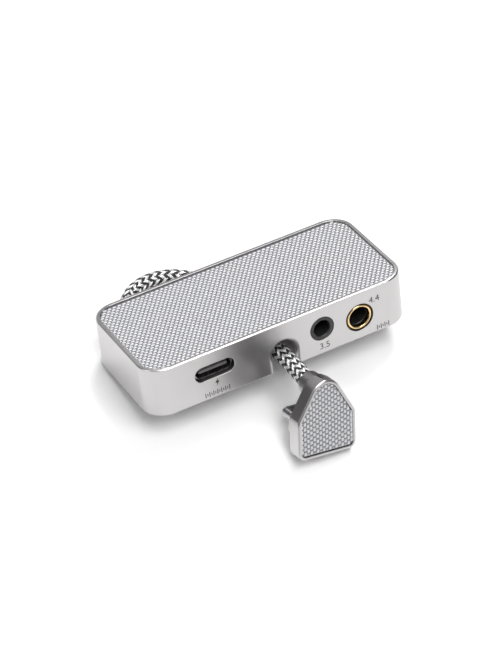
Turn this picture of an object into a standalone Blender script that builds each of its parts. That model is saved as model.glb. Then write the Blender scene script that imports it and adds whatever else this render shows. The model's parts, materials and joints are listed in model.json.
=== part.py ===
"""Pocket headphone amplifier for a USB socket, with a captive braided lead.

The case is a machined aluminium tub under a woven inlay. Its front holds a
charging socket, an arched tunnel that runs through to the back, and two round
headphone sockets. The lead leaves the back of the case, turns round through
the tunnel and ends at the front in a flat U-turn plug.

Everything is modelled in the case's own axes: +X along the front, +Y to the
back, +Z out of the woven face, with zero at the middle of the underside. An
empty then leans the case back, so that it stands on its rear bottom edge and
on the foot of the plug. All values are in metres and radians.
"""

import math

import bmesh
import bpy
import numpy as np
from mathutils import Matrix, Vector

# Case, outside
CASE_LENGTH = 0.0610
CASE_WIDTH = 0.0279
CASE_HEIGHT = 0.01155
CORNER_RADIUS = 0.0051
EDGE_ROUND = 0.0003
RIM_WIDTH = 0.0009
WALL = 0.0013
FLOOR = 0.0010
FRONT = -CASE_WIDTH / 2
BACK = CASE_WIDTH / 2
INNER_FRONT = FRONT + WALL
INNER_BACK = BACK - WALL

# Clearance between pieces that touch on the real object
GAP = 0.00006

# How far a cutter runs past what it cuts, and a joined piece into its neighbour
CLEAR = 0.001
OVERLAP = 0.0005

# Layers under the rim, from the top down
WEAVE_TOP = CASE_HEIGHT - 0.00030
WEAVE_THICKNESS = 0.00034
ADHESIVE_THICKNESS = 0.00008
LID_THICKNESS = 0.00080
ADHESIVE_TOP = WEAVE_TOP - WEAVE_THICKNESS - GAP
LID_TOP = ADHESIVE_TOP - ADHESIVE_THICKNESS - GAP
LEDGE = LID_TOP - LID_THICKNESS - GAP

# Tunnel for the lead, which flares out to both faces of the case
TUNNEL_X = 0.0004
TUNNEL_WIDTH = 0.0054
TUNNEL_HEIGHT = 0.00675
TUNNEL_WALL = 0.0007
TUNNEL_FLARE = 0.0010

# Circuit board
BOARD_BOTTOM = 0.0084
BOARD_THICKNESS = 0.0008
BOARD_TOP = BOARD_BOTTOM + BOARD_THICKNESS
BOARD_MARGIN = 0.0002
SCREW_X = 0.0262
SCREW_Y = 0.0097
POST_RADIUS = 0.0015
SCREW_HEAD_RADIUS = 0.0012
SCREW_HEAD_HEIGHT = 0.00045
SCREW_SHANK_RADIUS = 0.0006
SCREW_LENGTH = 0.0040
BOARD_HOLE_RADIUS = 0.0008

# Charging socket
USB_X = -0.0156
USB_Z = 0.0067
USB_OPENING = (0.0091, 0.00347)
USB_SHELL = (0.0088, 0.00316)
USB_SHELL_WALL = 0.0003
USB_RECESS = 0.0009
USB_DEPTH = 0.0075
USB_TONGUE = (0.0067, 0.0007)
USB_TONGUE_RECESS = 0.0002
USB_TONGUE_BASE = 0.0016
CONTACT_PITCH = 0.0005
CONTACT_WIDTH = 0.00026
CONTACT_THICKNESS = 0.00008
CONTACT_BAR = 0.0003
CONTACTS_IN_A_ROW = 12

# Headphone sockets: place and size of the bore, radius of the case's hole,
# body size
SMALL_JACK = {
    "x": 0.0095, "z": 0.0063, "bore": 0.00179, "bore_depth": 0.0144,
    "hole": 0.00279, "half_width": 0.0031, "below": 0.0025, "above": 0.0026,
    "back": 0.0014, "springs": 4,
}
LARGE_JACK = {
    "x": 0.0184, "z": 0.00533, "bore": 0.00232, "bore_depth": 0.0196,
    "hole": 0.00324, "half_width": 0.00355, "below": 0.0036, "above": 0.0036,
    "back": 0.0068, "springs": 5,
}
NOSE_RECESS = 0.00005

# Gold sleeve of the large socket, with a raised lip inside a groove
SLEEVE_LENGTH = 0.0012
SLEEVE_INNER = 0.00238
SLEEVE_LIP = 0.00287
SLEEVE_GROOVE = 0.00040
SLEEVE_CORNER = 0.00012

# Contact springs in the headphone sockets
SPRING_LENGTH = 0.0050
SPRING_THICKNESS = 0.0002
SPRING_WIDTH = 0.0010
SPRING_BUMP = 0.0007
SPRING_STANDOFF = 0.0005
SPRING_REAR = 0.0030
SPRING_ROW_SPACING = 0.0042
SPRING_SHIFT = 0.00075

# Lead
CORD_RADIUS = 0.00183
CORD_SPACING = 0.0022
EXIT_X = -0.0196
EXIT_Z = 0.0053
GROMMET_HOLE = 0.00195
GROMMET_OUTER = 0.00250
GROMMET_FLANGE = 0.00300
GROMMET_RISE = 0.0005
CRIMP_RADIUS = 0.0023
CRIMP_LENGTH = 0.0030
CRIMP_GAP = 0.0012
WIRE_RADIUS = 0.00035
WIRE_SHIFT = 0.0007

# Plug, in its own axes: +X across, +Y towards the tab, +Z up to the rounded
# top, with zero on the front face at the centre of that round top
PLUG_PLACE = (0.00061, -0.03076, 0.00303)
PLUG_TURN = (math.radians(-9.0), math.radians(9.3), math.radians(1.0))
INLAY_HALF_WIDTH = 0.0060
INLAY_BASE = 0.01225
INLAY_SHOULDER = 0.0047
INLAY_TOP_RADIUS = 0.0028
INLAY_CORNER_RADIUS = 0.0010
PLUG_MARGIN = 0.0008
PLUG_DEPTH = 0.0039
PLUG_RECESS = 0.0009
PLUG_REAR_WALL = 0.0009
BOSS_RADIUS = 0.0026
BOSS_LENGTH = 0.0031
BOSS_RISE = 0.0006
TAB_DROP = 0.0069
TAB_SIZE = (0.00825, 0.0024)
TAB_LENGTH = 0.00665
TAB_WALL = 0.00028
TAB_START = 0.0024
TAB_SLOT = (0.0067, 0.00115)
TAB_SLOT_DEPTH = 0.0060
LATCH_X = 0.00310
LATCH_LENGTH = 0.0042
LATCH_THICKNESS = 0.00015
LATCH_WIDTH = 0.0006
LATCH_BUMP = 0.0002
COLLAR_SIZE = (0.0132, 0.0046)
COLLAR_HEIGHT = 0.00085

# Finishes: colour, roughness, metallic
FINISHES = {
    "satin_aluminium": ((0.74, 0.73, 0.73), 0.34, 1.0),
    "silver_weave": ((0.62, 0.62, 0.64), 0.55, 0.4),
    "adhesive": ((0.85, 0.83, 0.75), 0.60, 0.0),
    "circuit_board": ((0.01, 0.06, 0.03), 0.45, 0.0),
    "black_plastic": ((0.02, 0.02, 0.02), 0.42, 0.0),
    "grey_plastic": ((0.12, 0.12, 0.13), 0.45, 0.0),
    "chip_resin": ((0.015, 0.015, 0.017), 0.55, 0.0),
    "gold_plate": ((0.80, 0.58, 0.28), 0.25, 1.0),
    "steel": ((0.60, 0.60, 0.61), 0.28, 1.0),
    "ceramic_tan": ((0.45, 0.33, 0.22), 0.50, 0.0),
    "braid": ((0.45, 0.45, 0.46), 0.45, 0.5),
    "red_insulation": ((0.55, 0.05, 0.03), 0.45, 0.0),
}


def start_empty_scene():
    for item in list(bpy.data.objects):
        bpy.data.objects.remove(item, do_unlink=True)
    for name in ("usb_headphone_amplifier", "cutters"):
        collection = bpy.data.collections.new(name)
        bpy.context.scene.collection.children.link(collection)


def finish(name):
    """The material of one finish, made the first time it is asked for."""
    material = bpy.data.materials.get(name)
    if material is None:
        colour, roughness, metallic = FINISHES[name]
        material = bpy.data.materials.new(name)
        material.use_nodes = True
        shader = material.node_tree.nodes["Principled BSDF"]
        shader.inputs["Base Color"].default_value = (*colour, 1.0)
        shader.inputs["Roughness"].default_value = roughness
        shader.inputs["Metallic"].default_value = metallic
    return material


def make_axes(name, parent=None):
    empty = bpy.data.objects.new(name, None)
    bpy.data.collections["usb_headphone_amplifier"].objects.link(empty)
    empty.parent = parent
    return empty


def add_part(name, mesh, material, axes):
    part = bpy.data.objects.new(name, mesh)
    mesh.materials.clear()
    mesh.materials.append(finish(material))
    bpy.data.collections["usb_headphone_amplifier"].objects.link(part)
    part.parent = axes
    return part


def add_cutter(name, mesh, axes):
    cutter = bpy.data.objects.new(name, mesh)
    bpy.data.collections["cutters"].objects.link(cutter)
    cutter.parent = axes
    cutter.hide_render = True
    cutter.display_type = "WIRE"
    return cutter


def shape(part, cutter, operation):
    boolean = part.modifiers.new(cutter.name, "BOOLEAN")
    boolean.object = cutter
    boolean.operation = operation
    boolean.solver = "EXACT"


def box_mesh(centre, size):
    shape_mesh = bmesh.new()
    bmesh.ops.create_cube(shape_mesh, size=1.0)
    bmesh.ops.scale(shape_mesh, vec=size, verts=shape_mesh.verts)
    bmesh.ops.translate(shape_mesh, vec=centre, verts=shape_mesh.verts)
    return to_mesh(shape_mesh)


def cylinder_mesh(start, end, radius, sides=24):
    start = Vector(start)
    axis = Vector(end) - start
    turn = axis.to_track_quat("Z", "Y").to_matrix().to_4x4()
    place = Matrix.Translation(start + axis / 2) @ turn
    shape_mesh = bmesh.new()
    bmesh.ops.create_cone(
        shape_mesh, cap_ends=True, segments=sides, radius1=radius,
        radius2=radius, depth=axis.length, matrix=place)
    return to_mesh(shape_mesh)


def to_mesh(shape_mesh):
    mesh = bpy.data.meshes.new("shape")
    shape_mesh.to_mesh(mesh)
    shape_mesh.free()
    return mesh


def group_mesh(meshes):
    """One mesh that holds several separate solids."""
    together = bmesh.new()
    for mesh in meshes:
        together.from_mesh(mesh)
    return to_mesh(together)


def lofted_mesh(rings):
    """A closed solid through rings of equally many points."""
    shape_mesh = bmesh.new()
    rows = [[shape_mesh.verts.new(point) for point in ring] for ring in rings]
    count = len(rows[0])
    for near, far in zip(rows[:-1], rows[1:]):
        for i in range(count):
            j = (i + 1) % count
            shape_mesh.faces.new((near[i], near[j], far[j], far[i]))
    shape_mesh.faces.new(reversed(rows[0]))
    shape_mesh.faces.new(rows[-1])
    bmesh.ops.recalc_face_normals(shape_mesh, faces=shape_mesh.faces)
    return to_mesh(shape_mesh)


def outline_mesh(outlines, thickness, place):
    """A flat outline, with holes if it has more than one, made a closed slab.

    The slab spans zero to the thickness along its own +Z, and place puts it
    in the part's axes.
    """
    curve = bpy.data.curves.new("outline", "CURVE")
    curve.dimensions = "2D"
    curve.fill_mode = "BOTH"
    curve.extrude = thickness / 2
    for points in outlines:
        spline = curve.splines.new("POLY")
        spline.points.add(len(points) - 1)
        for point, (x, y) in zip(spline.points, points):
            point.co = (x, y, 0.0, 1.0)
        spline.use_cyclic_u = True
    mesh = curve_to_mesh(curve)
    mesh.transform(place @ Matrix.Translation((0, 0, thickness / 2)))
    return mesh


def curve_to_mesh(curve):
    holder = bpy.data.objects.new("curve", curve)
    bpy.context.scene.collection.objects.link(holder)
    graph = bpy.context.evaluated_depsgraph_get()
    mesh = bpy.data.meshes.new_from_object(holder.evaluated_get(graph))
    bpy.data.objects.remove(holder, do_unlink=True)
    welded = bmesh.new()
    welded.from_mesh(mesh)
    bmesh.ops.remove_doubles(welded, verts=welded.verts, dist=1e-7)
    bmesh.ops.recalc_face_normals(welded, faces=welded.faces)
    welded.to_mesh(mesh)
    welded.free()
    return mesh


def arc(centre, radius, start, end, steps):
    """Points on an arc, with both ends, angles in degrees."""
    points = []
    for step in range(steps + 1):
        angle = math.radians(start + (end - start) * step / steps)
        points.append((centre[0] + radius * math.cos(angle),
                       centre[1] + radius * math.sin(angle)))
    return points


def rounded_rectangle(length, width, radius, centre=(0.0, 0.0), steps=6):
    x = length / 2 - radius
    y = width / 2 - radius
    points = []
    for turn, (side_x, side_y) in enumerate(((1, 1), (-1, 1), (-1, -1), (1, -1))):
        corner = (centre[0] + side_x * x, centre[1] + side_y * y)
        points += arc(corner, radius, 90 * turn, 90 * turn + 90, steps)
    return points


def stadium(length, width, centre=(0.0, 0.0), steps=8):
    """A slot outline whose ends are half circles."""
    radius = width / 2
    x = length / 2 - radius
    right = arc((centre[0] + x, centre[1]), radius, -90, 90, steps)
    left = arc((centre[0] - x, centre[1]), radius, 90, 270, steps)
    return right + left


def facing_front(y):
    """Turns an outline drawn in X and Z into a slab that runs back from y."""
    turn = Matrix(((1, 0, 0), (0, 0, 1), (0, 1, 0))).to_4x4()
    return Matrix.Translation((0, y, 0)) @ turn


def raised(z):
    return Matrix.Translation((0, 0, z))


def outward(mesh):
    """Recalculates the faces of a slab that was turned over."""
    shape_mesh = bmesh.new()
    shape_mesh.from_mesh(mesh)
    bmesh.ops.recalc_face_normals(shape_mesh, faces=shape_mesh.faces)
    shape_mesh.to_mesh(mesh)
    shape_mesh.free()
    return mesh


def front_slab(outlines, start, end):
    return outward(outline_mesh(outlines, end - start, facing_front(start)))


def flat_slab(outlines, bottom, top):
    return outline_mesh(outlines, top - bottom, raised(bottom))


def case_outline(inset):
    return rounded_rectangle(
        CASE_LENGTH - 2 * inset, CASE_WIDTH - 2 * inset, CORNER_RADIUS - inset)


def screw_places():
    return [(x, y) for x in (-SCREW_X, SCREW_X) for y in (-SCREW_Y, SCREW_Y)]


def add_case_body(axes):
    """The tub: walls, floor, tunnel, posts and the openings through them."""
    outer = flat_slab([case_outline(0.0)], 0.0, CASE_HEIGHT)
    body = add_part("case_body", outer, "satin_aluminium", axes)
    rounding = body.modifiers.new("edge_round", "BEVEL")
    rounding.width = EDGE_ROUND
    rounding.segments = 2
    rounding.limit_method = "ANGLE"

    above = CASE_HEIGHT + CLEAR
    recess = flat_slab([case_outline(RIM_WIDTH)], LEDGE, above)
    shape(body, add_cutter("lid_recess", recess, axes), "DIFFERENCE")
    cavity = flat_slab([case_outline(WALL)], FLOOR, above)
    shape(body, add_cutter("cavity", cavity, axes), "DIFFERENCE")

    wall_top = TUNNEL_HEIGHT + TUNNEL_WALL
    wall_bottom = FLOOR - OVERLAP
    tunnel_block = box_mesh(
        (TUNNEL_X, 0.0, (wall_top + wall_bottom) / 2),
        (TUNNEL_WIDTH + 2 * TUNNEL_WALL, CASE_WIDTH - 2 * WALL + OVERLAP,
         wall_top - wall_bottom))
    shape(body, add_cutter("tunnel_block", tunnel_block, axes), "UNION")
    posts = group_mesh([
        cylinder_mesh((x, y, FLOOR - OVERLAP), (x, y, BOARD_BOTTOM - GAP), POST_RADIUS, 16)
        for x, y in screw_places()])
    shape(body, add_cutter("posts", posts, axes), "UNION")
    hole_bottom = BOARD_TOP - SCREW_LENGTH - CLEAR
    post_holes = group_mesh([
        cylinder_mesh((x, y, hole_bottom), (x, y, BOARD_BOTTOM + CLEAR),
                      SCREW_SHANK_RADIUS + GAP, 12)
        for x, y in screw_places()])
    shape(body, add_cutter("post_holes", post_holes, axes), "DIFFERENCE")
    shape(body, add_cutter("tunnel", tunnel_mesh(), axes), "DIFFERENCE")

    openings = [
        front_slab([stadium(*USB_OPENING, centre=(USB_X, USB_Z))],
                   FRONT - CLEAR, INNER_FRONT + OVERLAP),
        front_hole(SMALL_JACK),
        front_hole(LARGE_JACK),
        cylinder_mesh((EXIT_X, INNER_BACK - OVERLAP, EXIT_Z),
                      (EXIT_X, BACK + CLEAR, EXIT_Z), GROMMET_OUTER + GAP, 24),
    ]
    shape(body, add_cutter("wall_openings", group_mesh(openings), axes), "DIFFERENCE")


def front_hole(jack):
    return cylinder_mesh((jack["x"], FRONT - CLEAR, jack["z"]),
                         (jack["x"], INNER_FRONT + OVERLAP, jack["z"]), jack["hole"], 32)


def arch(y, grow):
    """The tunnel's open arch at one depth, grown outward by an amount."""
    half = TUNNEL_WIDTH / 2 + grow
    spring_line = TUNNEL_HEIGHT - TUNNEL_WIDTH / 2
    outline = arc((TUNNEL_X, spring_line), half, 0, 180, 14)
    outline += [(TUNNEL_X - half, -CLEAR), (TUNNEL_X + half, -CLEAR)]
    return [(x, y, z) for x, z in outline]


def tunnel_mesh():
    """The tunnel from front to back, with a rounded flare at both ends."""
    flare = []
    for angle in (0.0, math.radians(30), math.radians(60), math.radians(90)):
        flare.append((TUNNEL_FLARE * (1 - math.cos(angle)), TUNNEL_FLARE * (1 - math.sin(angle))))
    rings = [arch(FRONT - CLEAR, TUNNEL_FLARE)]
    rings += [arch(FRONT + depth, grow) for depth, grow in flare]
    rings += [arch(BACK - depth, grow) for depth, grow in reversed(flare)]
    rings.append(arch(BACK + CLEAR, TUNNEL_FLARE))
    return lofted_mesh(rings)


def add_lid(axes):
    """The carrier plate, its adhesive film and the woven inlay."""
    fit = RIM_WIDTH + GAP
    layers = (
        ("lid_plate", "satin_aluminium", LID_TOP - LID_THICKNESS, LID_TOP, fit),
        ("lid_adhesive", "adhesive", ADHESIVE_TOP - ADHESIVE_THICKNESS, ADHESIVE_TOP, fit + 0.0004),
        ("lid_weave", "silver_weave", WEAVE_TOP - WEAVE_THICKNESS, WEAVE_TOP, fit),
    )
    for name, material, bottom, top, inset in layers:
        add_part(name, flat_slab([case_outline(inset)], bottom, top), material, axes)


def add_board(axes):
    """The circuit board, notched for the two headphone sockets."""
    outline = case_outline(WALL + BOARD_MARGIN)
    board = add_part("main_board", flat_slab([outline], BOARD_BOTTOM, BOARD_TOP),
                     "circuit_board", axes)
    middle = (BOARD_BOTTOM + BOARD_TOP) / 2
    notches = []
    for jack in (SMALL_JACK, LARGE_JACK):
        front = FRONT - CLEAR
        back = jack["back"] + BOARD_MARGIN
        notches.append(box_mesh(
            (jack["x"], (front + back) / 2, middle),
            (2 * (jack["half_width"] + BOARD_MARGIN), back - front, BOARD_THICKNESS + CLEAR)))
    holes = [cylinder_mesh((x, y, BOARD_BOTTOM - CLEAR), (x, y, BOARD_TOP + CLEAR),
                           BOARD_HOLE_RADIUS, 12)
             for x, y in screw_places()]
    shape(board, add_cutter("board_notches", group_mesh(notches + holes), axes), "DIFFERENCE")

    for number, (x, y) in enumerate(screw_places(), start=1):
        add_part(f"board_screw_{number}", screw_mesh(x, y), "steel", axes)


def screw_mesh(x, y):
    """A pan head screw, turned from half of its outline."""
    seat = BOARD_TOP + GAP
    top = seat + SCREW_HEAD_HEIGHT
    tip = seat - SCREW_LENGTH
    half = [(0.0, top), (SCREW_HEAD_RADIUS * 0.8, top), (SCREW_HEAD_RADIUS, top - 0.0002),
            (SCREW_HEAD_RADIUS, seat), (SCREW_SHANK_RADIUS, seat),
            (SCREW_SHANK_RADIUS, tip + 0.0004), (0.0, tip)]
    return turned_mesh(half, Matrix.Translation((x, y, 0.0)), 12)


def turned_mesh(half, place, steps):
    """Turns a half outline of (radius, height), top to bottom, about Z."""
    profile = bpy.data.meshes.new("profile")
    points = [(radius, 0.0, height) for radius, height in half]
    closed = half[0][0] > 0.0
    edges = [(i, i + 1) for i in range(len(points) - 1)]
    if closed:
        edges.append((len(points) - 1, 0))
    profile.from_pydata(points, edges, [])
    holder = bpy.data.objects.new("turned", profile)
    bpy.context.scene.collection.objects.link(holder)
    screw = holder.modifiers.new("turn", "SCREW")
    screw.steps = steps
    screw.render_steps = steps
    screw.use_merge_vertices = True
    screw.merge_threshold = 0.000001
    graph = bpy.context.evaluated_depsgraph_get()
    mesh = bpy.data.meshes.new_from_object(holder.evaluated_get(graph))
    bpy.data.objects.remove(holder, do_unlink=True)
    mesh.transform(place)
    return outward(mesh)


def add_usb_socket(axes):
    """The charging socket: a steel shell round a tongue with its contacts."""
    centre = (USB_X, USB_Z)
    mouth = FRONT + USB_RECESS
    back = mouth + USB_DEPTH
    inner = (USB_SHELL[0] - 2 * USB_SHELL_WALL, USB_SHELL[1] - 2 * USB_SHELL_WALL)
    shell = front_slab([stadium(*USB_SHELL, centre), stadium(*inner, centre)], mouth, back)
    add_part("usb_shell", shell, "steel", axes)

    base_front = back - USB_TONGUE_BASE
    filling = stadium(inner[0] - 2 * GAP, inner[1] - 2 * GAP, centre)
    tongue = add_part("usb_tongue", front_slab([filling], base_front, back - GAP),
                      "grey_plastic", axes)
    blade_front = mouth + USB_TONGUE_RECESS
    blade_back = base_front + OVERLAP
    blade = box_mesh((USB_X, (blade_front + blade_back) / 2, USB_Z),
                     (USB_TONGUE[0], blade_back - blade_front, USB_TONGUE[1]))
    shape(tongue, add_cutter("usb_blade", blade, axes), "UNION")

    for name, side in (("usb_contacts_upper", 1), ("usb_contacts_lower", -1)):
        middle = USB_Z + side * (USB_TONGUE[1] / 2 + GAP + CONTACT_THICKNESS / 2)
        comb = contact_comb(USB_X, base_front - 2 * GAP, blade_front + 0.0004)
        add_part(name, flat_slab([comb], middle - CONTACT_THICKNESS / 2,
                                 middle + CONTACT_THICKNESS / 2), "gold_plate", axes)


def contact_comb(centre, bar, tip):
    """Contact fingers along Y on a common bar, as a flat outline."""
    neck = bar + math.copysign(CONTACT_BAR, tip - bar)
    half = CONTACT_WIDTH / 2
    outer = CONTACTS_IN_A_ROW * CONTACT_PITCH / 2
    points = [(centre - outer, bar), (centre - outer, neck)]
    for number in range(CONTACTS_IN_A_ROW):
        x = centre - outer + (number + 0.5) * CONTACT_PITCH
        points += [(x - half, neck), (x - half, tip), (x + half, tip), (x + half, neck)]
    points += [(centre + outer, neck), (centre + outer, bar)]
    return points


def spring_mounts(jack):
    """Where each contact spring pivots, and its outward direction."""
    radius = jack["bore"] + SPRING_STANDOFF
    rear = jack["back"] - SPRING_REAR
    front = rear - SPRING_ROW_SPACING
    sides = [
        (Vector((1, 0, 0)), SPRING_SHIFT, rear),
        (Vector((-1, 0, 0)), SPRING_SHIFT, rear),
        (Vector((1, 0, 0)), -SPRING_SHIFT, front),
        (Vector((-1, 0, 0)), -SPRING_SHIFT, front),
        (Vector((0, 0, -1)), 0.0, front),
    ]
    mounts = []
    for out, shift, y in sides[:jack["springs"]]:
        mounts.append((Vector((jack["x"], y, jack["z"] + shift)) + out * radius, out))
    return mounts


def spring_mesh():
    """A leaf along -Y from its pivot, with a bump towards -X near its end."""
    t = SPRING_THICKNESS / 2
    end = -SPRING_LENGTH
    crest = end + 0.0010
    outline = [
        (-t, 0.0), (-t, crest + 0.0008), (-SPRING_BUMP, crest), (-t, crest - 0.0008), (-t, end),
        (t, end), (t, crest - 0.0009), (-SPRING_BUMP + 0.00032, crest), (t, crest + 0.0009), (t, 0.0),
    ]
    return outline_mesh([outline], SPRING_WIDTH, Matrix.Translation((0, 0, -SPRING_WIDTH / 2)))


def add_jack(name, jack, axes):
    """A headphone socket: a moulded body with a bore, and its leaf springs."""
    front = INNER_FRONT + GAP
    centre = (front + jack["back"]) / 2
    z = jack["z"] + (jack["above"] - jack["below"]) / 2
    block = box_mesh((jack["x"], centre, z),
                     (2 * jack["half_width"], jack["back"] - front, jack["above"] + jack["below"]))
    body = add_part(name + "_body", block, "black_plastic", axes)
    if jack is SMALL_JACK:
        nose = cylinder_mesh((jack["x"], FRONT + NOSE_RECESS, jack["z"]),
                             (jack["x"], front + OVERLAP, jack["z"]), jack["hole"] - GAP, 32)
        shape(body, add_cutter(name + "_nose", nose, axes), "UNION")
    bore = cylinder_mesh((jack["x"], FRONT - CLEAR, jack["z"]),
                         (jack["x"], FRONT + jack["bore_depth"], jack["z"]), jack["bore"], 24)
    shape(body, add_cutter(name + "_bore", bore, axes), "DIFFERENCE")

    for number, (place, out) in enumerate(spring_mounts(jack), start=1):
        spring = add_part(f"{name}_spring_{number}", spring_mesh(), "gold_plate", axes)
        spring.location = place
        spring.rotation_euler = (0.0, math.atan2(-out.z, out.x), 0.0)
        cutter = add_cutter(f"{name}_window_{number}", window_mesh(place, out), axes)
        shape(body, cutter, "DIFFERENCE")


def window_mesh(place, out):
    """The slot through a socket's wall that one spring moves in."""
    room = 2 * GAP
    depth = 0.0030
    inner = place - out * (SPRING_STANDOFF + SPRING_BUMP)
    across = Vector((abs(out.z), 0, abs(out.x)))
    size = Vector((abs(out.x), 0, abs(out.z))) * depth + across * (SPRING_WIDTH + 2 * room)
    size.y = SPRING_LENGTH + 4 * room
    centre = inner + out * depth / 2
    centre.y = place.y - SPRING_LENGTH / 2
    return box_mesh(centre, size)


def add_gold_sleeve(axes):
    """The sleeve that lines the large socket's hole, with its rounded lip."""
    corner = SLEEVE_CORNER
    half = [(SLEEVE_INNER, -corner), (SLEEVE_INNER + corner, 0.0), (SLEEVE_LIP - corner, 0.0),
            (SLEEVE_LIP, -corner), (SLEEVE_LIP, -SLEEVE_GROOVE),
            (LARGE_JACK["hole"] - GAP, -SLEEVE_GROOVE), (LARGE_JACK["hole"] - GAP, -SLEEVE_LENGTH),
            (SLEEVE_INNER, -SLEEVE_LENGTH)]
    place = (Matrix.Translation((LARGE_JACK["x"], FRONT + NOSE_RECESS, LARGE_JACK["z"]))
             @ Matrix.Rotation(math.radians(90), 4, "X"))
    add_part("jack_large_collar", turned_mesh(half, place, 32), "gold_plate", axes)


def add_board_parts(axes):
    """Chips and small parts soldered to both faces of the board."""
    above = BOARD_TOP + GAP
    below = BOARD_BOTTOM - GAP
    chip = 0.00055

    def on_top(x, y, size):
        return box_mesh((x, y, above + size[2] / 2), size)

    def under(x, y, size):
        return box_mesh((x, y, below - size[2] / 2), size)

    pieces = (
        ("bridge_chip", "chip_resin", on_top(-0.0120, 0.0020, (0.0060, 0.0060, chip))),
        ("converter_chip_1", "chip_resin", on_top(-0.0045, -0.0035, (0.0040, 0.0050, chip))),
        ("converter_chip_2", "chip_resin", on_top(0.0010, -0.0035, (0.0040, 0.0050, chip))),
        ("amplifier_chip_1", "chip_resin", on_top(0.0090, 0.0095, (0.0040, 0.0030, chip))),
        ("amplifier_chip_2", "chip_resin", on_top(0.0180, 0.0095, (0.0040, 0.0030, chip))),
        ("clock_crystal_1", "steel", on_top(-0.0070, 0.0085, (0.0025, 0.0020, 0.0005))),
        ("clock_crystal_2", "steel", on_top(-0.0030, 0.0085, (0.0025, 0.0020, 0.0005))),
        ("power_inductor", "chip_resin", under(-0.0235, -0.0010, (0.0030, 0.0030, 0.0015))),
        ("reservoir_capacitor_1", "ceramic_tan", under(-0.0110, 0.0105, (0.0035, 0.0022, 0.0019))),
        ("reservoir_capacitor_2", "ceramic_tan", under(0.0090, 0.0105, (0.0035, 0.0022, 0.0019))),
        ("regulator_chip", "chip_resin", under(-0.0100, 0.0030, (0.0030, 0.0030, 0.0009))),
    )
    for name, material, mesh in pieces:
        add_part(name, mesh, material, axes)


def add_cord_anchor(axes):
    """The ring in the back wall, the crimp inside it and the two leads."""
    bottom = -WALL - OVERLAP
    half = [(GROMMET_HOLE, GROMMET_RISE), (GROMMET_FLANGE - 0.0002, GROMMET_RISE),
            (GROMMET_FLANGE, GROMMET_RISE - 0.0002), (GROMMET_FLANGE, GAP), (GROMMET_OUTER, GAP),
            (GROMMET_OUTER, bottom), (GROMMET_HOLE, bottom)]
    turn = Matrix.Rotation(math.radians(-90), 4, "X")
    place = Matrix.Translation((EXIT_X, BACK, EXIT_Z)) @ turn
    add_part("cord_grommet", turned_mesh(half, place, 24), "satin_aluminium", axes)

    crimp = [(GROMMET_HOLE, 0.0), (CRIMP_RADIUS, 0.0), (CRIMP_RADIUS, -CRIMP_LENGTH),
             (GROMMET_HOLE, -CRIMP_LENGTH)]
    place = Matrix.Translation((EXIT_X, INNER_BACK - CRIMP_GAP, EXIT_Z)) @ turn
    add_part("cord_crimp", turned_mesh(crimp, place, 20), "steel", axes)

    start = cord_route()[0][1] - 2 * GAP
    for number, side in enumerate((-1, 1), start=1):
        x = EXIT_X + side * WIRE_SHIFT
        points = [(x, start, EXIT_Z), (x, start - 0.0010, EXIT_Z + 0.0004),
                  (x, start - 0.0022, EXIT_Z + 0.0016),
                  (x, start - 0.0026, BOARD_BOTTOM - 0.0003)]
        wire = tube_mesh(smooth_line(points, 0.0006), WIRE_RADIUS, 1)
        add_part(f"cord_lead_{number}", wire, "red_insulation", axes)


def tube_mesh(points, radius, resolution):
    curve = bpy.data.curves.new("tube", "CURVE")
    curve.dimensions = "3D"
    curve.bevel_depth = radius
    curve.bevel_resolution = resolution
    curve.use_fill_caps = True
    spline = curve.splines.new("POLY")
    spline.points.add(len(points) - 1)
    for target, point in zip(spline.points, points):
        target.co = (*point, 1.0)
    return curve_to_mesh(curve)


def smooth_line(route, spacing):
    """Evenly spaced points on a smooth curve through the route's points."""
    knots = [np.array(point, float) for point in route]
    knots = [2 * knots[0] - knots[1]] + knots + [2 * knots[-1] - knots[-2]]
    fine = []
    steps = 24
    for index in range(1, len(knots) - 2):
        before, start, end, after = knots[index - 1:index + 3]
        for step in range(steps):
            t = step / steps
            fine.append(0.5 * (2 * start + (end - before) * t
                               + (2 * before - 5 * start + 4 * end - after) * t ** 2
                               + (3 * start - before - 3 * end + after) * t ** 3))
    fine.append(knots[-2])
    fine = np.array(fine)
    run = np.concatenate([[0.0], np.cumsum(np.linalg.norm(np.diff(fine, axis=0), axis=1))])
    count = max(2, round(run[-1] / spacing) + 1)
    at = np.linspace(0.0, run[-1], count)
    return [tuple(np.interp(s, run, fine[:, axis]) for axis in range(3)) for s in at]


def plug_matrix():
    turn = Matrix.Rotation(PLUG_TURN[2], 4, "Z") @ Matrix.Rotation(PLUG_TURN[1], 4, "Y")
    turn = turn @ Matrix.Rotation(PLUG_TURN[0], 4, "X")
    return Matrix.Translation(PLUG_PLACE) @ turn


def cord_route():
    """The lead's route in the case's axes, from its crimp to the plug."""
    plug = plug_matrix()
    boss_back = PLUG_DEPTH + BOSS_LENGTH
    in_plug = [tuple(plug @ Vector((0.0, y, BOSS_RISE)))
               for y in (boss_back - 0.0002, PLUG_DEPTH - 0.0006)]
    return [
        (EXIT_X, 0.0086, EXIT_Z),
        (EXIT_X, 0.0112, EXIT_Z),
        (EXIT_X, BACK, EXIT_Z),
        (-0.0196, 0.0165, 0.0051),
        (-0.0185, 0.0205, 0.0049),
        (-0.0154, 0.0236, 0.00485),
        (-0.0112, 0.0248, 0.00485),
        (-0.0071, 0.0238, 0.00475),
        (-0.0037, 0.0208, 0.0046),
        (-0.0014, 0.0170, 0.0044),
        (-0.0003, 0.0125, 0.0041),
        (-0.0001, 0.0070, 0.0037),
        (0.0001, 0.0010, 0.0033),
        (0.0003, -0.0060, 0.0030),
        (0.0005, -0.0120, 0.00278),
        (0.00055, -0.0162, 0.00262),
        (0.00053, -0.0202, 0.00242),
        *in_plug,
    ]


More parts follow.
